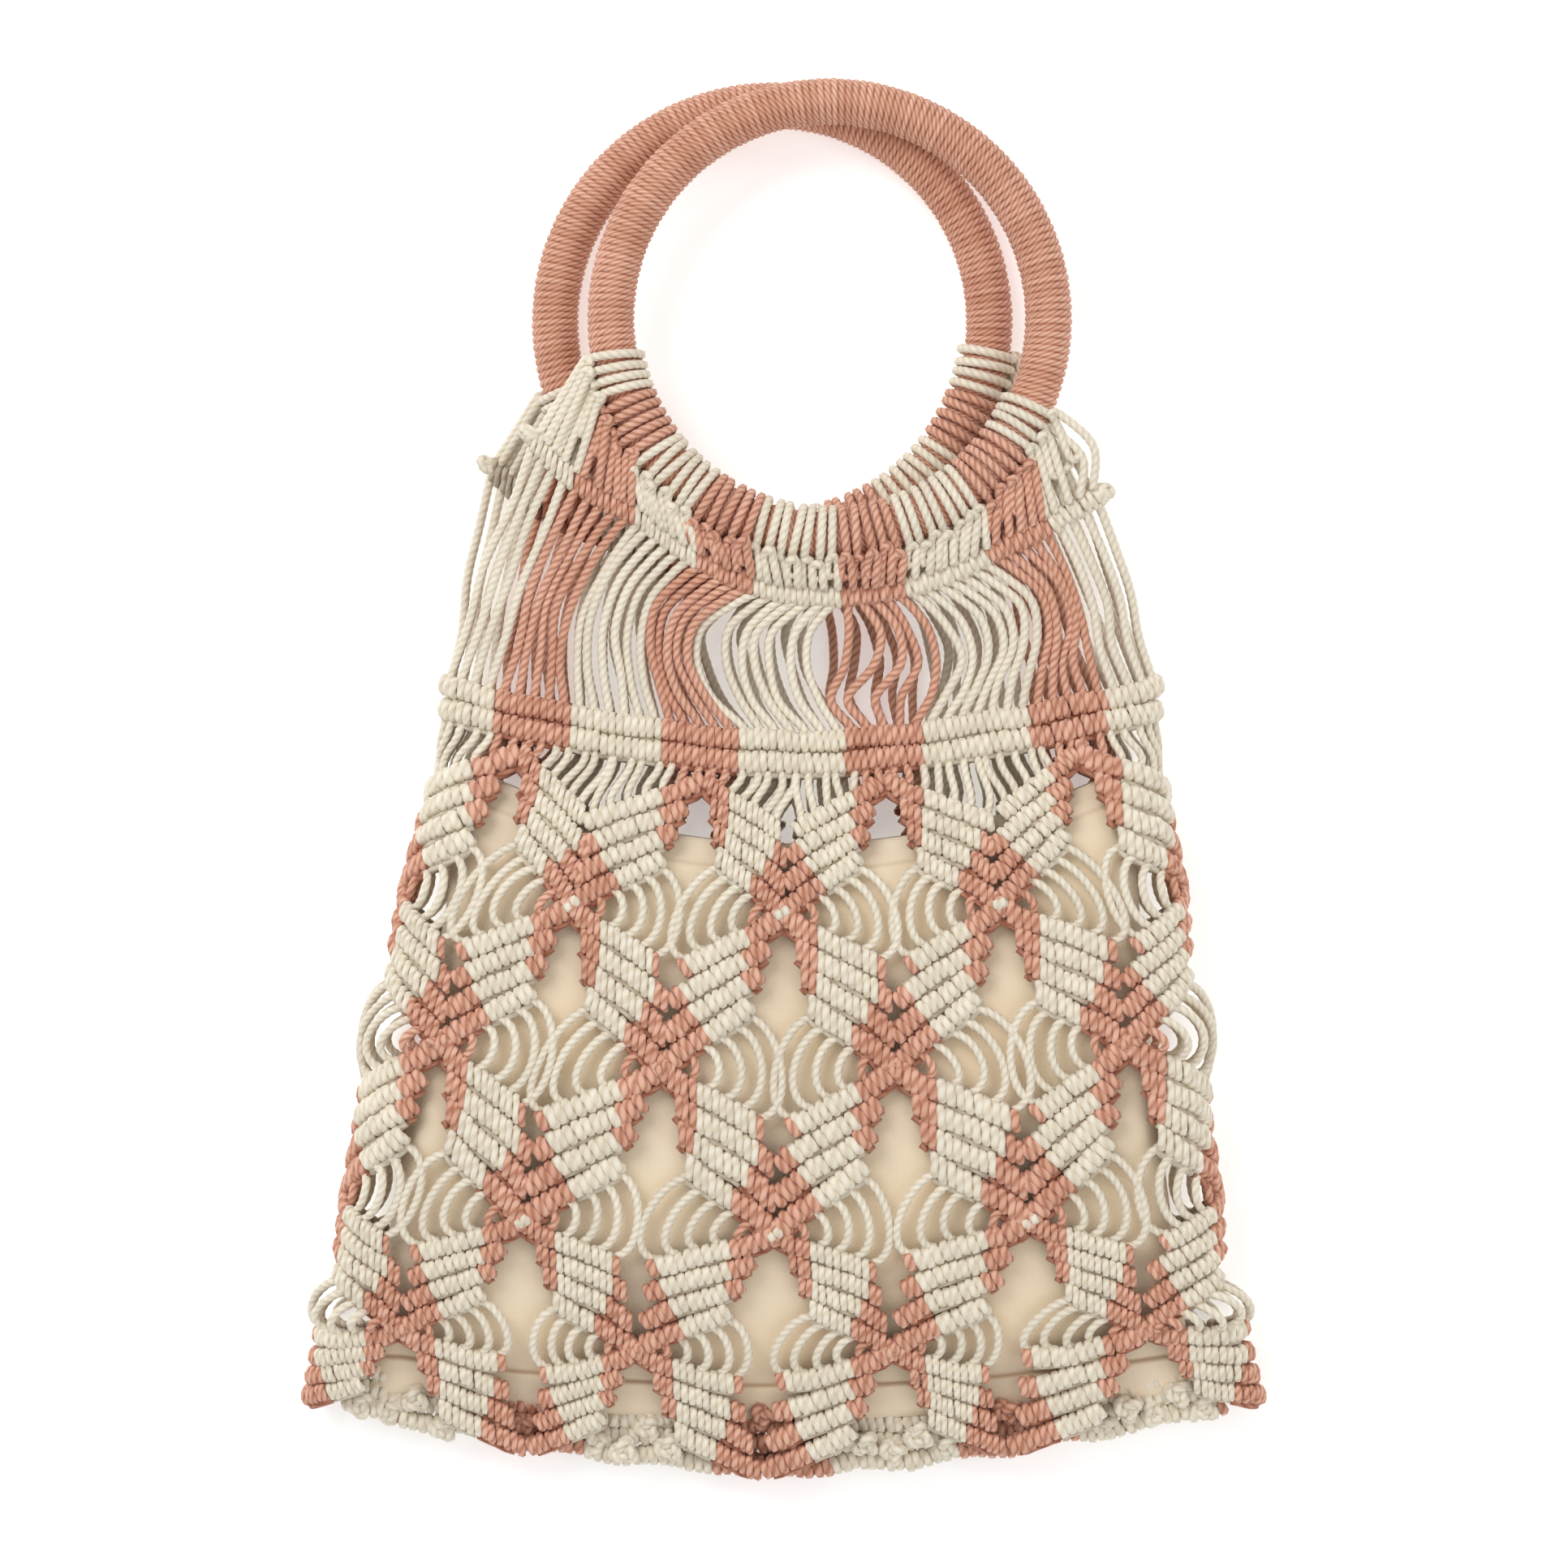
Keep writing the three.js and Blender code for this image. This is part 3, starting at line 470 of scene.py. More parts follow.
def cord_material(name, light, painted_groove_shade, warmth):
    """Three-ply cotton: ply grooves, fibres along the cord, uneven dye and a soft sheen, with painted shade in
    the ply grooves and in the creases.

    warmth: powers by which the painted shade and the dye patches darken red, green and blue.
    """
    m = Nodes(name)
    uv = m.node("ShaderNodeUVMap", uv_map="cord")
    split = m.node("ShaderNodeSeparateXYZ")
    m.link(uv.outputs[0], split.inputs[0])
    u, v = split.outputs[0], split.outputs[1]
    phase = m.math("ADD", m.math("DIVIDE", u, PLY_PITCH), m.math("MULTIPLY", v, PLIES))
    across_ply = m.math("SUBTRACT", m.math("MULTIPLY", m.math("FRACT", phase), 2.0), 1.0)
    height = m.ramp(m.math("ABSOLUTE", across_ply), 0.0, 0.75)
    coordinates = m.node("ShaderNodeTexCoord").outputs["Object"]
    stretched = m.combine(m.math("MULTIPLY", u, 0.5), m.math("MULTIPLY", phase, 9.0), 0.0)
    fibre = m.noise(stretched, 1.0, 3.0)
    patch = m.noise(coordinates, 55.0, 3.0)
    fuzz = m.noise(coordinates, 2600.0, 2.0)
    # Random tone of each cord times its painted shade
    shade = m.node("ShaderNodeAttribute", attribute_name="shade").outputs["Fac"]
    pale = tuple(min(1.0, c * 1.08 + 0.02) for c in light[:3]) + (1.0,)
    dull = tuple(c * 0.86 for c in light[:3]) + (1.0,)
    streaks = m.mix(m.ramp(fibre, 0.35, 0.7), dull, pale)
    # Painted shade in the ply grooves: the valleys between plies take the darker groove colour
    colour = m.mix(height, painted_groove_shade, m.mix(0.35, light, streaks))
    # Dye patches plus the shade attribute, raised to the warmth powers: this darkening is mostly the painted
    # shade, warmer in hue as it darkens
    tone = m.math("ADD", m.math("MULTIPLY", m.math("SUBTRACT", patch, 0.5), 0.22), shade)
    darkening = m.node("ShaderNodeCombineColor")
    for socket, power in zip(darkening.inputs, warmth):
        m.put(socket, m.math("POWER", tone, power))
    colour = m.mix(1.0, colour, darkening.outputs[0], "MULTIPLY")
    m.link(colour, m.shader.inputs["Base Color"])
    relief = m.math("ADD", height, m.math("MULTIPLY", fibre, 0.35))
    relief = m.math("ADD", relief, m.math("MULTIPLY", fuzz, 0.18))
    bumps = m.node("ShaderNodeBump")
    bumps.inputs["Strength"].default_value = 0.45
    bumps.inputs["Distance"].default_value = 0.0004
    m.link(relief, bumps.inputs["Height"])
    m.link(bumps.outputs[0], m.shader.inputs["Normal"])
    m.link(m.ramp(fuzz, 0.2, 0.8, 0.82, 0.98), m.shader.inputs["Roughness"])
    m.shader.inputs["Sheen Weight"].default_value = 0.18
    m.shader.inputs["Sheen Roughness"].default_value = 0.6
    m.shader.inputs["Specular IOR Level"].default_value = 0.2
    return m.material


def cloth_material(name, light, dark):
    """Plain-weave cotton with a fine thread grid, slubs and soft uneven tone."""
    m = Nodes(name)
    coordinates = m.node("ShaderNodeTexCoord").outputs["Object"]
    waves = []
    for axis in ("X", "Y"):
        wave = m.node("ShaderNodeTexWave", wave_type="BANDS", bands_direction=axis, wave_profile="SIN")
        m.link(coordinates, wave.inputs["Vector"])
        wave.inputs["Scale"].default_value = 520.0
        wave.inputs["Distortion"].default_value = 0.6
        wave.inputs["Detail"].default_value = 1.0
        wave.inputs["Detail Scale"].default_value = 0.4
        waves.append(wave.outputs["Fac"])
    weave = m.math("MULTIPLY", waves[0], waves[1])
    slub = m.noise(coordinates, 240.0, 4.0)
    patch = m.noise(coordinates, 16.0, 3.0)
    colour = m.mix(m.ramp(weave, 0.0, 0.9), dark, light)
    warm = (light[0] * 0.97, light[1] * 0.9, light[2] * 0.8, 1.0)
    colour = m.mix(m.ramp(patch, 0.4, 0.7, 0.0, 0.4), colour, warm)
    colour = m.mix(m.ramp(slub, 0.45, 0.75, 0.0, 0.16), colour, dark)
    seam = m.node("ShaderNodeAttribute", attribute_name="seam").outputs["Fac"]
    colour = m.mix(m.math("MULTIPLY", seam, 0.75, clamp=True), colour, (0.50, 0.30, 0.16, 1.0))
    m.link(colour, m.shader.inputs["Base Color"])
    bumps = m.node("ShaderNodeBump")
    bumps.inputs["Strength"].default_value = 0.35
    bumps.inputs["Distance"].default_value = 0.0002
    m.link(m.math("ADD", weave, m.math("MULTIPLY", slub, 0.6)), bumps.inputs["Height"])
    m.link(bumps.outputs[0], m.shader.inputs["Normal"])
    m.link(m.ramp(slub, 0.3, 0.8, 0.84, 0.95), m.shader.inputs["Roughness"])
    m.shader.inputs["Sheen Weight"].default_value = 0.1
    m.shader.inputs["Specular IOR Level"].default_value = 0.2
    return m.material


# light: the cotton's own colour; the groove colour and warmth: its painted shade in ply grooves and creases
MATERIALS = {
    "pink": cord_material(
        "pink_cotton", light=(0.79, 0.45, 0.325, 1.0), painted_groove_shade=(0.52, 0.22, 0.13, 1.0), warmth=(1.3, 2.1, 2.6)
    ),
    "cream": cord_material(
        "cream_cotton", light=(0.89, 0.82, 0.685, 1.0), painted_groove_shade=(0.78, 0.68, 0.52, 1.0), warmth=(0.75, 0.85, 0.95)
    ),
}
CLOTH = cloth_material("lining_cotton", (0.98, 0.86, 0.665, 1.0), (0.93, 0.785, 0.585, 1.0))
SLOTS = {"pink": "pink_cord", "cream": "cream_cord"}


def both():
    """An empty collection for each cord colour."""
    return {"pink": Cords(), "cream": Cords()}


def finish_both(pair, name, *nodes):
    for colour, cords in pair.items():
        if cords.count:
            cords.mesh(f"{name}_{colour}", MATERIALS[colour], SLOTS[colour], *nodes)


# Net
FAN_CORDS = 6
FAN_PINK_CORDS = 2  # nearest to the crossing
FAN_POINTS = 26
FRINGE_CORDS = {FRONT: 7, BACK: 8}
FRINGE_POINTS = 16
LEAF_ROW_SHARE = 0.122  # a row's height, as a share of its leaf's length
LEAF_ROW_LEAST = 6.9


def runs(colours):
    """First and last place of each run of one colour."""
    first = 0
    for last in range(1, len(colours) + 1):
        if last == len(colours) or colours[last] != colours[first]:
            yield first, last
            first = last


def stripe_runs():
    """First and last cord of each stripe, and its colour."""
    first = 0
    for count, colour in STRIPES:
        yield (first, first + count), colour
        first += count


def knot_row(store, side, path, colours, height, lift=0.0, flare=0.0):
    """A row of half hitches over a path of (s, y), with a cord in the crease along its lower edge, darkened with
    painted shade.
    """
    count = len(colours)
    places = (np.arange(count) + 0.5) / count
    flat = along_path(path, places)
    e = 0.02
    ahead = along_path(path, np.clip(places + e, 0, 1)) - along_path(path, np.clip(places - e, 0, 1))
    length = np.linalg.norm(np.diff(path, axis=0), axis=1).sum()
    centre = on_body(side, flat[:, 0], flat[:, 1], lift)
    near = on_body(side, flat[:, 0] - ahead[:, 0] * 0.1, flat[:, 1] - ahead[:, 1] * 0.1, lift)
    far = on_body(side, flat[:, 0] + ahead[:, 0] * 0.1, flat[:, 1] + ahead[:, 1] * 0.1, lift)
    way = unit(far - near)
    n = body_normal(side, flat[:, 0], flat[:, 1])
    n = unit(n - (n * way).sum(-1, keepdims=True) * way)
    t = way * np.sign(np.cross(n, way)[:, 1])[:, None]
    lean = -0.1 - 1.1 * np.clip(-t[:, 1], 0, 0.65)
    width = length / count
    tall = height * (1 + flare * (2 * places - 1) ** 2)
    tall[[0, -1]] *= 0.86
    chosen = np.array(colours)
    for colour in ("pink", "cream"):
        pick = chosen == colour
        store[colour].wraps(
            centre[pick], t[pick], n[pick], tall[pick], 2 * HALF_KNOT, width, lean[pick], steps=KNOT_STEPS[side]
        )
    crease = centre - np.cross(n, t) * tall[:, None] * 0.48 - n * 0.9
    for first, last in runs(colours):
        a = crease[first] + way[first] * width * (0.4 if first == 0 else -0.4)
        b = crease[last - 1] - way[last - 1] * width * (0.4 if last == count else -0.4)
        line = np.vstack([a, crease[first + 1 : last - 1], b]) if last - first > 1 else np.vstack([b, a])
        if np.linalg.norm(a - b) > 0.5:
            # The crease cord, darkened with painted shade
            store[colours[first]].tube(line, n[first], radius=1.3, step=FILLER_STEP, shade=CREASE_SHADE)


def rows_of_leaf(a, b):
    """Path and knot colours of each row of the leaf between two crossings.

    The last leaves end in blunt tips. Each row runs on until only its gap to the slit is left.
    """
    blunt = b[1] < crossing(len(LEVELS) - 2, 0)[1]
    gapes = a[1] < FIRST_LEAVES
    for shape, colours, gap in LEAF_ROWS:
        points = [leaf_place(a, b, along, out) for along, out in shape]
        knots = [colour for count, colour in colours for _ in range(count)]
        if gapes:
            gap *= GAPE
            knots[-1] = "pink"
        if blunt:
            gap += 1.0
            drawn_in = leaf_place(a, b, shape[-1][0] - 0.05, shape[-1][1] + 0.07)
            points[-1] = points[-1] * 0.6 + drawn_in * 0.4
            points[-1][0] -= np.sign(b[0] - a[0]) * max(gap - abs(b[0] - points[-1][0]), 0)
        short = abs(b[0] - points[-1][0]) - gap
        if short > 0:
            step = points[-1] - points[-2]
            points.append(points[-1] + step * short / abs(step[0]))
        yield smooth(points, 6), knots


def fan(store, side, above, middle, below, edge):
    """Loose cords from the lowest row of the leaf above to the top row of the leaf below."""
    under, _ = list(rows_of_leaf(above, middle))[-1]
    over, _ = next(rows_of_leaf(middle, below))
    outwards = np.sign(above[0] - middle[0])
    for j in range(FAN_CORDS):
        share = (j + 0.55) / FAN_CORDS
        a = along_path(under, [1 - share])[0]
        d = along_path(over, [share])[0]
        a = a + np.array([outwards * 0.6, -2.2])
        d = d + np.array([outwards * 0.6, 2.2])
        chord = np.linalg.norm(d - a)
        bow = chord * (0.56 - 0.17 * share) * RNG.uniform(0.92, 1.06)
        sag = RNG.uniform(-0.08, 0.08) * chord
        first = a + np.array([outwards * bow * 0.95, -bow * 0.12 + sag])
        second = d + np.array([outwards * bow * 0.95, bow * 0.2 + sag])
        flat = bezier(a, first, second, d, FAN_POINTS)
        limit = section(flat[:, 1])[3] + (6.0 if edge else 0.0)
        over_edge = np.maximum(np.abs(flat[:, 0]) - limit, 0)
        flat[:, 0] -= np.sign(flat[:, 0]) * over_edge * 0.6
        hump = np.sin(np.linspace(0, math.pi, FAN_POINTS))
        lift = -1.0 + hump * (1.4 + (4.0 if edge else 0.0)) + RNG.uniform(-0.4, 0.4)
        path = on_body(side, flat[:, 0], flat[:, 1], lift)
        colour = "pink" if j < FAN_PINK_CORDS else "cream"
        store[colour].tube(path, body_normal(side, flat[:, 0], flat[:, 1]), radius=CORD)


def fringe(store, side, column, way):
    """Short cords from the band down to one of the first leaves."""
    here = crossing(0, column)
    low = column + way
    path, colours = next(rows_of_leaf(here, crossing(1, low)))
    quarter = section(here[1])[3] / COLUMNS
    cords = FRINGE_CORDS[side]
    for j in range(cords):
        share = (j + 0.5) / cords
        d = along_path(path, [share])[0] + np.array([0.0, 2.0])
        s = here[0] + way * quarter * share + RNG.uniform(-0.3, 1.6)
        ratio = np.clip(s / section(band_y(0.0))[3], -BAND_REACH, BAND_REACH)
        a = np.array([s, band_y(ratio) - BAND_HALF + 0.6])
        drop = max(a[1] - d[1], 3.0)
        bend = (way + 0.4) * RNG.uniform(0.2, 2.6) * min(drop / 12, 1.2)
        first = a + np.array([bend * 0.4, -drop * 0.45])
        second = d + np.array([bend, drop * 0.4])
        flat = bezier(a, first, second, d, FRINGE_POINTS)
        hump = np.sin(np.linspace(0, math.pi, FRINGE_POINTS))
        surface = on_body(side, flat[:, 0], flat[:, 1], -0.6 + hump)
        colour = colours[min(int(share * len(colours)), len(colours) - 1)]
        store[colour].tube(surface, body_normal(side, flat[:, 0], flat[:, 1]), radius=CORD * 0.95)


def make_net(side):
    """Leaves, fans and fringe of one side, and a small knot over each inner crossing."""
    knots, loose = both(), both()
    last = len(LEVELS) - 1
    for level in range(last + 1):
        for column in range(-COLUMNS + (level + 1) % 2, COLUMNS + 1, 2):
            here = crossing(level, column)
            for following in (column - 1, column + 1):
                if abs(following) > COLUMNS:
                    continue
                if level < last:
                    below = crossing(level + 1, following)
                    height = max(LEAF_ROW_SHARE * np.linalg.norm(below - here), LEAF_ROW_LEAST)
                    for path, colours in rows_of_leaf(here, below):
                        knot_row(knots, side, path, colours, height, flare=0.2)
                if 0 < level < last:
                    above = crossing(level - 1, following)
                    at_edge = abs(following) == COLUMNS
                    fan(loose, side, above, here, crossing(level + 1, following), at_edge)
                if level == 0:
                    fringe(loose, side, column, following - column)
            if 0 < level < last and abs(column) < COLUMNS:
                colour = "cream" if level % 2 else "pink"
                way = np.array([1.0, 0.62]) / math.hypot(1.0, 0.62)
                cross = np.array([here - way * 2.6, here + way * 2.6])
                knot_row(knots, side, cross, [colour] * 2, height=5.6, lift=0.9)
    word = WORDS[side]
    finish_both(knots, f"knots_{word}", f"net_{word}")
    finish_both(loose, f"fans_{word}", f"net_{word}")


# Band
def make_band(side):
    """Two rows of knots, two knots to a cord, with a filler cord in the crease below each, darkened with painted
    shade.
    """
    store = both()
    for up in (-BAND_HALF / 2, BAND_HALF / 2):
        count = 2 * CORDS
        share = BAND_REACH * (2 * (np.arange(count) + 0.5) / count - 1)
        near = band_point(side, share - 0.002, up, 0)
        far = band_point(side, share + 0.002, up, 0)
        centre = band_point(side, share, up, 0)
        centre[:, 1] += np.sin(share * 23 + up) * 0.35
        t = unit(far - near)
        n = body_normal(side, share * section(band_y(share))[3], band_y(share))
        n = unit(n - (n * t).sum(-1, keepdims=True) * t)
        chosen = np.repeat(CORD_COLOURS, 2)
        width = np.linalg.norm(centre[1:] - centre[:-1], axis=1).mean()
        for colour in ("pink", "cream"):
            pick = chosen == colour
            store[colour].wraps(
                centre[pick], t[pick], n[pick], BAND_ROW_HEIGHT, 2 * HALF_BAND, width,
                lean=-0.15 * side, spread=180,
            )
        for cords, colour in stripe_runs():
            a, b = (BAND_REACH * (2 * k / CORDS - 1) for k in cords)
            line = band_point(side, np.linspace(a, b, 8), up - BAND_HALF / 2, -1.0)
            # Filler cord in the crease, darkened with painted shade
            store[colour].tube(line, (0, 0, 1), radius=1.4, step=FILLER_STEP, shade=CREASE_SHADE)
    word = WORDS[side]
    finish_both(store, f"band_cords_{word}", f"band_{word}")


# Handles
RING_TURNS = 200
RING_TURN_STEPS = 6  # along the ring in one turn of the winding
RING_SIDES = 18
RING_GROOVE = 0.75  # depth of the grooves between turns
RING_RIDGE = 0.85


def ring_local(side, angle, around, radius):
    """Point of a ring: angle round the ring, around its tube from the outside, radius from the tube's axis."""
    handle = HANDLES[side]
    angle, around, radius = np.broadcast_arrays(*(np.asarray(v, float) for v in (angle, around, radius)))
    reach = RING_RADIUS + radius * np.cos(around)
    x, y, z = reach * np.cos(angle), reach * np.sin(angle), radius * np.sin(around)
    c, s = math.cos(handle["tilt"]), math.sin(handle["tilt"])
    return np.stack([x + handle["x"], y * c - z * s + handle["y"], y * s + z * c + handle["z"]], axis=-1)


def make_ring(side):
    """A ring with a cord wound round it: ridges of the turns, each with its ply lines, and painted shade in the
    grooves between turns.
    """
    steps = RING_TURNS * RING_TURN_STEPS
    i = np.arange(steps)
    angle = i / steps * 2 * math.pi
    around = np.arange(RING_SIDES) / RING_SIDES * 2 * math.pi
    phase = (i[:, None] / RING_TURN_STEPS + around[None] / (2 * math.pi)) % 1.0
    swell = np.sqrt(np.clip(1 - (2 * phase - 1) ** 2, 0, 1))
    uneven = RNG.uniform(-0.12, 0.12, RING_TURNS)[i // RING_TURN_STEPS][:, None]
    radius = TUBE_RADIUS - RING_GROOVE + RING_RIDGE * swell + uneven * swell
    points = ring_local(side, angle[:, None], around[None], radius)
    index = np.arange(steps * RING_SIDES).reshape(steps, RING_SIDES)
    a = index
    b = np.roll(index, -1, axis=1)
    c = np.roll(index, -1, axis=0)
    d = np.roll(c, -1, axis=1)
    faces = [np.stack([a, c, b], -1).reshape(-1, 3), np.stack([b, c, d], -1).reshape(-1, 3)]
    # ply coordinates: u along the cord, v across it, as each turn of the winding shows half the cord
    v = (np.broadcast_to(i[:, None] / RING_TURN_STEPS, a.shape) + around[None] / (2 * math.pi)) * 0.5
    u = np.broadcast_to(around[None] * TUBE_RADIUS, a.shape)
    u_next = u + 2 * math.pi / RING_SIDES * TUBE_RADIUS
    along, round_tube = 0.5 / RING_TURN_STEPS, 0.5 / RING_SIDES
    at_a, at_c = np.stack([u, v], -1), np.stack([u, v + along], -1)
    at_b, at_d = np.stack([u_next, v + round_tube], -1), np.stack([u_next, v + round_tube + along], -1)
    cords = Cords()
    cords.points.append(points.reshape(-1, 3))
    cords.faces += faces
    cords.uvs += [np.stack(corners, -2) for corners in ([at_a, at_c, at_b], [at_b, at_c, at_d])]
    # Painted shade in the grooves between turns, times each turn's random tone
    tone_and_painted_shade = (0.62 + 0.38 * swell) * (1 + uneven * 0.5)
    cords.shades.append(tone_and_painted_shade.reshape(-1))
    word = WORDS[side]
    cords.mesh(f"wrapped_ring_{word}", MATERIALS["pink"], SLOTS["pink"], f"handle_ring_{word}")


def collar_centre(side, along):
    """Middle of the collar's cord at a share of its length."""
    along = np.asarray(along, float)
    handle = HANDLES[side]
    start, end = handle["collar"]
    angle = np.radians(start + (end - start) * along)
    drop = np.interp(along, REACH_ALONG, REACH_SHARE) * COLLAR_DROP
    reach = RING_RADIUS + LOOPS_RADIUS + COLLAR_GAP + COLLAR_RADIUS + drop
    z = on_body(FRONT, 0.0, band_y(0.0), 0)[2] if side == FRONT else COLLAR_RADIUS
    x, y = handle["x"] + reach * np.cos(angle), handle["y"] + reach * np.sin(angle)
    return np.stack([x, y, np.full_like(x, z)], axis=-1)


def collar_frame(side, along):
    """Middle and direction of the collar at a share of its length."""
    e = 0.004
    t = unit(collar_centre(side, np.asarray(along) + e) - collar_centre(side, np.asarray(along) - e))
    return collar_centre(side, along), t


def make_collar(side):
    """A row of knots, two to a cord, over a filler, with a knob of knots at each end."""
    store = both()
    count = 2 * CORDS
    along = (np.arange(count) + 0.5) / count
    centre, t = collar_frame(side, along)
    n = np.tile([0.0, 0.0, float(side)], (count, 1))
    chosen = np.repeat(CORD_COLOURS, 2)
    length = np.linalg.norm(np.diff(centre, axis=0), axis=1)
    width = np.append(length, length[-1])
    collar_lean = side * (-0.1 - np.clip(-t[:, 1], 0, 0.65))
    for colour in ("pink", "cream"):
        pick = chosen == colour
        store[colour].wraps(
            centre[pick], t[pick], n[pick], 8.2, 2 * COLLAR_RADIUS, width[pick].mean(),
            lean=collar_lean[pick], spread=180,
        )
    for (a, b), colour in stripe_runs():
        line = collar_centre(side, np.linspace(a, b, 10) / CORDS)
        # Filler cord under the knots, darkened with painted shade
        store[colour].tube(line, (0, 0, 1), radius=1.5, step=FILLER_STEP, shade=0.55)
    for place, way in ((0.0, -1), (1.0, 1)):
        _, t = collar_frame(side, np.array([np.clip(place, 0.01, 0.99)]))
        for k in range(3):
            spin = RNG.uniform(0, math.pi)
            tilt = unit(np.array([[math.cos(spin), math.sin(spin), RNG.uniform(-0.6, 0.6)]]))
            n = unit(np.cross(tilt, np.array([[0.3, 0.2, 1.0]])))
            spot = collar_centre(side, place) + way * t[0] * (k * 1.2 - 0.6)
            # The knobs get only a little painted shade on their undersides
            store["cream"].wraps(spot[None], tilt, n, 7.4, 6.8, 3.0, spread=180, under=0.95)
    word = WORDS[side]
    finish_both(store, f"collar_cords_{word}", f"collar_{word}")


def make_loops(side):
    """Cord loops round the ring, their legs down to the collar, and the hooked cords over the legs."""
    loops, legs = both(), both()
    start, end = np.radians(HANDLES[side]["loops"])
    up = np.array([0.0, 0.0, float(side)])
    for k, colour in enumerate(CORD_COLOURS):
        share = (k + 0.5) / CORDS
        angle = start + (end - start) * share + RNG.uniform(-0.004, 0.004)
        around = np.radians(np.linspace(8, 352, 25)) * side
        twist = RNG.uniform(-0.012, 0.012)
        path = ring_local(side, angle + twist * np.cos(around), around, TUBE_RADIUS + 1.25)
        axis = ring_local(side, angle + 0.01, 0.0, 0.0) - ring_local(side, angle - 0.01, 0.0, 0.0)
        loops[colour].tube(path, np.cross(unit(axis), np.gradient(path, axis=0)), radius=1.48)
        top = ring_local(side, angle, math.radians(28) * side, TUBE_RADIUS + 1.1)
        edge = ring_local(side, angle, math.radians(-6) * side, TUBE_RADIUS + 1.6)
        low = collar_centre(side, share)
        low = low + unit(edge - low) * 2.4
        legs[colour].tube(smooth([top, edge, (edge + low) / 2 + up * 0.3, low], 6), up, radius=1.4)
    hooks(side, legs, start, end, up)
    word = WORDS[side]
    finish_both(loops, f"ring_loops_{word}", f"mount_loops_{word}")
    finish_both(legs, f"legs_{word}", f"collar_{word}")


def hooks(side, legs, start, end, up):
    """Cords up from the collar, bent over below the loops and down again, side by side."""
    half = (end - start) / CORDS * 0.34
    for k, colour in enumerate(CORD_COLOURS):
        share = (k + 0.5) / CORDS
        angle = start + (end - start) * share + RNG.uniform(-0.01, 0.01)
        low, t = collar_frame(side, share)
        over = TUBE_RADIUS + 2.4 + 1.7 * (k % 2)
        rise = math.radians(RNG.uniform(28, 56)) * side
        top = ring_local(side, angle, rise, over)
        left = ring_local(side, angle - half, rise * 0.6, over)
        right = ring_local(side, angle + half, rise * 0.6, over)
        slip = t * RNG.uniform(-1.3, 0.9)
        foot_left = low - t * 1.5 + slip + unit(left - low) * 2.4 + up * 2.0
        foot_right = low + t * 1.5 + slip + unit(right - low) * 2.4 + up * 2.2
        bulge = np.array([5.5, 2.0, 0.0]) if side == FRONT and k >= CORDS - 2 else 0.0
        knee_left = foot_left * 0.5 + left * 0.5 + up * 0.6
        knee_right = foot_right * 0.5 + right * 0.5 + up * 1.4 + bulge
        curled = RNG.random() < 0.45
        foot = (knee_left + knee_right) / 2 - up * 1.2 if curled else foot_left
        path = smooth([foot, knee_left, left, top, right + up * 0.5, knee_right, foot_right], 6)
        legs[colour].tube(path, up, radius=RNG.uniform(1.4, 1.55))


STRAND_POINTS = 40


def strand_path(side, across):
    """Path of a hanging cord from the collar to the band, at a share across the side."""
    centre, t = collar_frame(side, across)
    below = np.array([t[1], -t[0], 0.0])
    top = centre + below * (COLLAR_RADIUS - 1.2)
    share = BAND_REACH * (2 * across - 1)
    end = band_point(side, share, BAND_HALF - 1.4, 0)
    cord, *columns = np.array(BOWS).T
    strength = 1.0 if side == FRONT else BACK_BOW
    places = np.array([0.0, 0.08, 0.25, 0.5, 0.75, 0.94, 1.0])
    bows = [
        np.interp(across * CORDS - 0.5, cord, column) * strength + RNG.uniform(-1.1, 1.1) for column in columns
    ]
    offsets = np.array([0.0, bows[0] * 0.42, *bows, bows[2] * 0.2, 0.0])
    points = top + (end - top) * places[:, None]
    points[:, 0] += offsets
    path = along_path(smooth(points), np.linspace(0, 1, STRAND_POINTS))
    path[:, 2] += np.sin(np.linspace(0, math.pi, STRAND_POINTS)) * RNG.uniform(-1.3, 1.3)
    return path


def make_strands(side):
    store = both()
    for k, colour in enumerate(CORD_COLOURS):
        path = strand_path(side, (k + 0.5) / CORDS)
        store[colour].tube(path, (0, 0, side), radius=CORD * RNG.uniform(1.0, 1.08))
    word = WORDS[side]
    for colour, cords in store.items():
        nodes = [f"strands_{word}_{i + 1}" for i, (_, c) in enumerate(STRIPES) if c == colour]
        cords.mesh(f"hanging_cords_{word}_{colour}", MATERIALS[colour], SLOTS[colour], *nodes)


# Bottom seam
SEAM_ROWS = (3.0, 9.5, 15.5)  # above the line through the leaves' tips
SEAM_KNOTS = 96  # to a row
SEAM_PERIOD = 82  # from one pink stretch to the next
OVERHAND_SIZE = 1.3
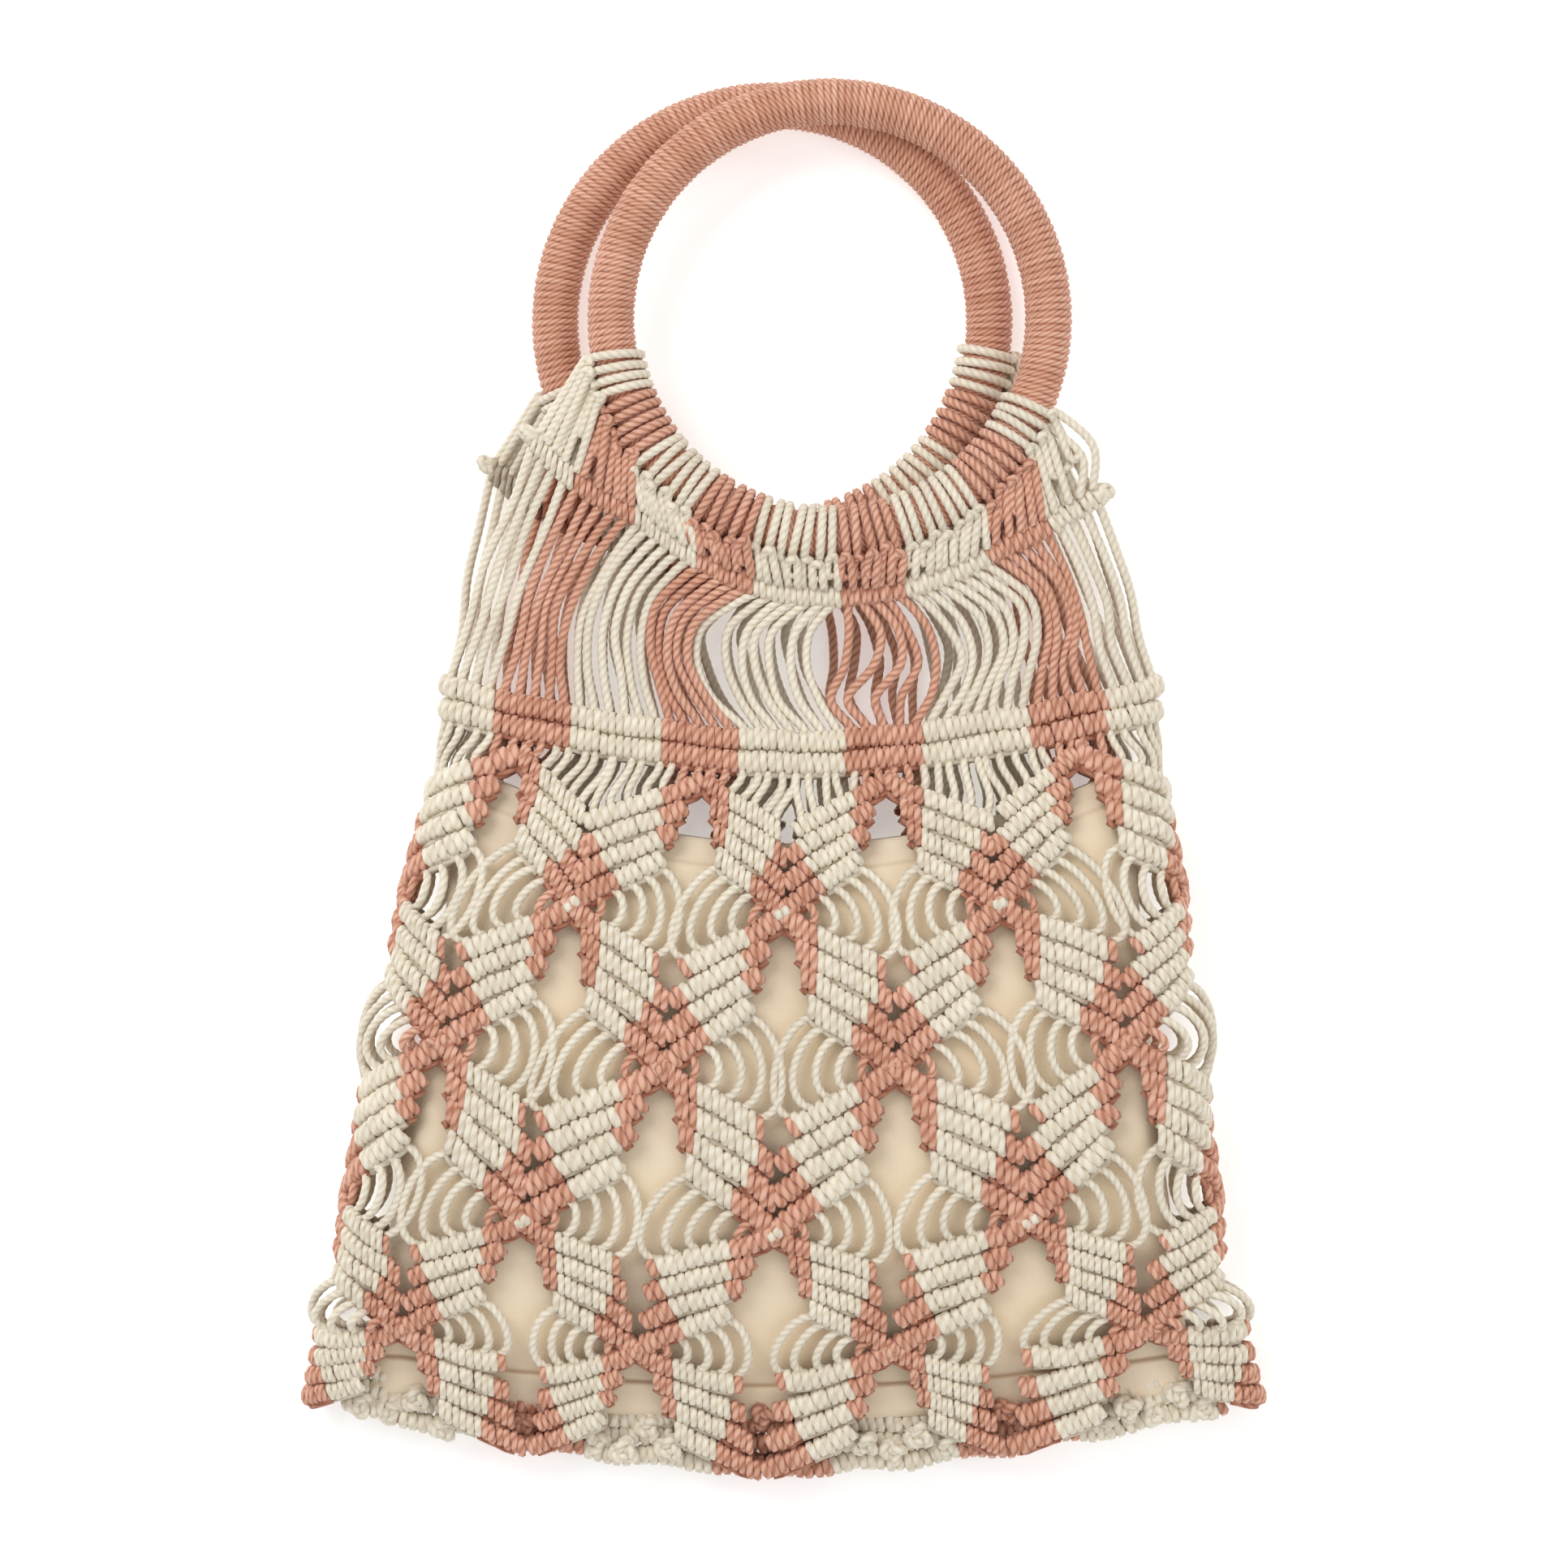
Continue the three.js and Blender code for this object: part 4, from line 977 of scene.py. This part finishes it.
# Places, in mm in the final frame, and colours of the overhand knots that close the bottom
CLOSING_KNOTS = [
    (-149, -200, 13, "cream"), (-141, -206, 15, "cream"), (-131, -208, 14, "cream"), (-122, -204, 17, "cream"),
    (-113, -214, 13, "cream"), (-97, -212, 18, "pink"), (-92, -203, 14, "pink"), (-86, -213, 14, "pink"),
    (-76, -209, 18, "pink"), (-62, -218, 14, "cream"), (-53, -221, 18, "cream"), (-45, -214, 14, "cream"),
    (-38, -220, 17, "cream"), (-24, -212, 18, "pink"), (-16, -219, 14, "pink"), (-7, -210, 16, "pink"),
    (1, -218, 18, "pink"), (10, -214, 13, "pink"), (27, -219, 17, "cream"), (36, -222, 14, "cream"),
    (45, -216, 18, "cream"), (54, -220, 14, "cream"), (66, -213, 14, "pink"), (74, -208, 18, "pink"),
    (82, -213, 15, "pink"), (89, -205, 17, "pink"), (106, -213, 14, "cream"), (114, -207, 18, "cream"),
    (123, -209, 14, "cream"), (131, -202, 17, "cream"), (140, -207, 15, "cream"), (149, -200, 14, "cream"),
]


def overhand(store, centre, colour):
    """A tightened overhand knot: a trefoil curve, turned at random."""
    a = np.linspace(0, 2 * math.pi, 40)
    x, y, z = np.sin(a) + 2 * np.sin(2 * a), np.cos(a) - 2 * np.cos(2 * a), -1.1 * np.sin(3 * a)
    curve = np.stack([x, y, z], axis=-1)
    spin = RNG.uniform(0, 2 * math.pi, 2)
    c, q = math.cos(spin[0]), math.sin(spin[0])
    turn = np.array([[c, -q, 0], [q, c, 0], [0, 0, 1]])
    c, q = math.cos(spin[1] * 0.12), math.sin(spin[1] * 0.12)
    tilt = np.array([[1, 0, 0], [0, c, -q], [0, q, c]])
    path = curve @ turn.T @ tilt.T * OVERHAND_SIZE + centre
    store[colour].tube(path, np.cross(np.gradient(path, axis=0), path - centre), radius=1.75)


def make_bottom():
    store = both()
    down, rise, _, _ = LEVELS[-1]
    share = 0.9 * (2 * (np.arange(SEAM_KNOTS) + 0.5) / SEAM_KNOTS - 1)
    tips = BODY_MID - (down - rise * np.abs(share) ** SIDE_POWER) * BODY_LENGTH
    for up in SEAM_ROWS:
        y = tips + up + np.sin(share * 31 + up)
        s = share * section(y)[3]
        centre = (on_body(FRONT, s, y, 0) + on_body(BACK, s, y, 0)) / 2
        t = unit(np.gradient(centre, axis=0))
        n = np.tile([0.0, 0.0, 1.0], (SEAM_KNOTS, 1))
        chosen = np.where(np.cos((centre[:, 0] + 4) * 2 * math.pi / SEAM_PERIOD) > 0.1, "pink", "cream")
        for colour in ("pink", "cream"):
            pick = chosen == colour
            store[colour].wraps(
                centre[pick], t[pick], n[pick], 7.4, 8.0, 3.0, lean=-0.3, spread=180, slack=0.15
            )
        # Core cord of the seam rows, darkened with painted shade
        store["pink"].tube(centre, (0, 0, 1), radius=2.2, step=FILLER_STEP, shade=0.5)
    for x, y, z, colour in CLOSING_KNOTS:
        overhand(store, np.array([x, y, z]) - CAD_SHIFT, colour)
    finish_both(store, "closing_knots", "bottom_seam")


# Lining
LINING_ALONG = [0.0, 0.2, 0.45, 0.7, 0.88, 1.0]
LINING_HALF = [0.84, 0.88, 0.93, 0.99, 1.03, 1.04]
LINING_FILL = [0.9, 1.0, 1.0, 1.0, 0.95, 0.45]
LINING_WALL = 1.2
LINING_GAP = 0.8  # cloth to net
LINING_HALF_WIDTH = 130.0
LINING_EDGE = 8.0  # radius of its side edges
LINING_MOUTH_DIP = 50.0  # mouth below the band's ends, in the middle
LINING_MOUTH_RISE = 22.0
LINING_HEM_RISE = 9.0
LINING_LENGTH = 191.0
LINING_LEAST_HALF_DEPTH = 0.6
LINING_SEAMS = (0.045, 0.94)
SEAM_WEIGHTS = (0.35, 1.0)


def seam_line(along):
    """How near a place down the pouch is to a seam, from 0 to the seam's weight."""
    lines = (np.exp(-(((along - seam) * LINING_LENGTH / 0.7) ** 2)) for seam in LINING_SEAMS)
    return sum(weight * line for weight, line in zip(SEAM_WEIGHTS, lines))


def lining_shell(along, across, depth, edge, inset):
    """Points of the pouch's wall. along: down it. across, depth and edge: place round its section."""
    half = np.interp(along, LINING_ALONG, LINING_HALF) * LINING_HALF_WIDTH
    fill = np.interp(along, LINING_ALONG, LINING_FILL)
    s = across * (half - LINING_EDGE)
    mouth = BODY_MID - LINING_MOUTH_DIP + LINING_MOUTH_RISE * across**2
    foot = BODY_MID - LINING_MOUTH_DIP - LINING_LENGTH + LINING_HEM_RISE * across**2
    y = mouth + (foot - mouth) * along
    upper = on_body(FRONT, s, y, -HALF_KNOT - LINING_GAP)
    lower = on_body(BACK, s, y, -HALF_KNOT - LINING_GAP)
    middle = (upper[..., 2] + lower[..., 2]) / 2
    room = (upper[..., 2] - lower[..., 2]) / 2 * fill - inset
    folds = (
        np.sin(s * 0.075 + y * 0.031 + 1.3) * 0.8
        + np.sin(s * 0.151 - y * 0.047 + depth * 2.0) * 0.5
        + np.sin(s * 0.04 + y * 0.11 + 4.0) * 0.5
    )
    calm = np.clip(along * 8, 0.25, 1) * np.clip((1 - along) * 6, 0, 1)
    inwards = (1.8 + folds) * 0.55 * calm
    room = np.maximum(room - inwards * np.abs(depth), LINING_LEAST_HALF_DEPTH)
    hem = 0.7 * np.clip((along - LINING_SEAMS[1]) * LINING_LENGTH / 0.8, 0, 1)
    rim = np.exp(-((along * LINING_LENGTH / 2.5) ** 2)) * 0.5
    z = middle + depth * (room - 0.5 * seam_line(along) + hem + rim)
    return np.stack([upper[..., 0] + edge * (LINING_EDGE - inset), y, z], axis=-1)


def make_lining():
    """Closed shell of the pouch: its outer wall up to the mouth, then its inner wall down."""
    flat, corner, rows = 64, 12, 64
    top = np.linspace(1, -1, flat, endpoint=False)
    bend = np.radians(np.linspace(90, 270, corner, endpoint=False))
    across = np.concatenate([top, np.full(corner, -1.0), -top, np.full(corner, 1.0)])
    depth = np.concatenate([np.ones(flat), np.sin(bend), -np.ones(flat), -np.sin(bend)])
    edge = np.concatenate([np.zeros(flat), np.cos(bend), np.zeros(flat), -np.cos(bend)])
    around_seam = np.linspace(-0.012, 0.012, 9)
    along = np.sort(np.concatenate([np.linspace(0, 1, rows), *(seam + around_seam for seam in LINING_SEAMS)]))
    rows = len(along)
    around = len(across)
    outer = lining_shell(along[::-1, None], across[None], depth[None], edge[None], 0.0)
    inner_along = along * (1 - 2 * LINING_WALL / LINING_LENGTH)
    inner = lining_shell(inner_along[:, None], across[None], depth[None], edge[None], LINING_WALL)
    points = np.concatenate([outer, inner]).reshape(-1, 3)
    index = np.arange(2 * rows * around).reshape(2 * rows, around)
    faces = []
    for i in range(2 * rows - 1):
        a, b = index[i], np.roll(index[i], -1)
        c, d = index[i + 1], np.roll(index[i + 1], -1)
        faces += np.stack([a, c, d, b], -1).tolist()
    for i, flip in ((0, False), (2 * rows - 1, True)):
        ring = index[i]
        for j in range(around // 2 - 1):
            k, m = j, around // 2 * 2 - 1 - j
            quad = [ring[k], ring[k + 1], ring[m - 1], ring[m]]
            faces.append([int(v) for v in (quad[::-1] if flip else quad)])
    mesh = bpy.data.meshes.new("lining_pouch")
    mesh.from_pydata(((points + CAD_SHIFT) / 1000).tolist(), [], faces)
    seam = mesh.attributes.new("seam", "FLOAT", "POINT")
    seams = np.repeat(seam_line(np.concatenate([along[::-1], along])), around)
    seam.data.foreach_set("value", seams.astype(np.float32))
    mesh.validate()
    mesh.update()
    mesh.polygons.foreach_set("use_smooth", np.ones(len(mesh.polygons), dtype=bool))
    piece = bpy.data.objects.new("lining_pouch", mesh)
    bpy.context.scene.collection.objects.link(piece)
    mesh.materials.append(CLOTH)
    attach(piece, "root")
    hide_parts("lining")


for each_side in (FRONT, BACK):
    make_ring(each_side)
    make_loops(each_side)
    make_collar(each_side)
    make_strands(each_side)
    make_band(each_side)
    make_net(each_side)
make_bottom()
make_lining()


# Stage, lights and camera, in metres
FLOOR_HALF = 6.0
FLOOR_DROP = 0.0006  # below z = 0, where the bag lies


def make_stage():
    """Plain floor, with a weak emission so that it reads as the photo's white ground."""
    mesh = bpy.data.meshes.new("floor")
    corners = [(x * FLOOR_HALF, y * FLOOR_HALF, 0) for x, y in ((-1, -1), (1, -1), (1, 1), (-1, 1))]
    mesh.from_pydata(corners, [], [(0, 1, 2, 3)])
    floor = bpy.data.objects.new("floor", mesh)
    floor.location.z = -FLOOR_DROP
    bpy.context.scene.collection.objects.link(floor)
    m = Nodes("floor")
    m.shader.inputs["Base Color"].default_value = (0.97, 0.97, 0.97, 1)
    m.shader.inputs["Roughness"].default_value = 0.95
    m.shader.inputs["Emission Color"].default_value = (1, 1, 1, 1)
    m.shader.inputs["Emission Strength"].default_value = 0.35
    mesh.materials.append(m.material)


def area_light(name, place, size, power):
    """White square light that faces the middle of the bag."""
    data = bpy.data.lights.new(name, "AREA")
    data.energy = power
    data.size = size
    light = bpy.data.objects.new(name, data)
    light.location = place
    bpy.context.scene.collection.objects.link(light)
    aim = bpy.data.objects.new(f"{name}_aim", None)
    bpy.context.scene.collection.objects.link(aim)
    hold = light.constraints.new("TRACK_TO")
    hold.target = aim
    hold.track_axis = "TRACK_NEGATIVE_Z"
    hold.up_axis = "UP_Y"


make_stage()
area_light("key", place=(-1.1, 1.3, 1.7), size=1.3, power=24)
area_light("fill", place=(1.5, -0.6, 1.8), size=2.2, power=12)
world = bpy.data.worlds.new("studio")
world.use_nodes = True
world.node_tree.nodes["Background"].inputs[0].default_value = (1, 1, 1, 1)
world.node_tree.nodes["Background"].inputs[1].default_value = 0.62
bpy.context.scene.world = world
bpy.context.scene.view_settings.view_transform = "Standard"

FRAME_WIDTH = 0.517  # seen at FRAME_LEVEL above the floor
FRAME_LEVEL = 0.03
CAMERA_HEIGHT = 2.2
SENSOR = 36.0
camera_data = bpy.data.cameras.new("camera")
camera_data.sensor_width = SENSOR
camera_data.lens = SENSOR * (CAMERA_HEIGHT - FRAME_LEVEL) / FRAME_WIDTH
camera = bpy.data.objects.new("camera", camera_data)
camera.location = (0.0, 0.0, CAMERA_HEIGHT)
bpy.context.scene.collection.objects.link(camera)
bpy.context.scene.camera = camera
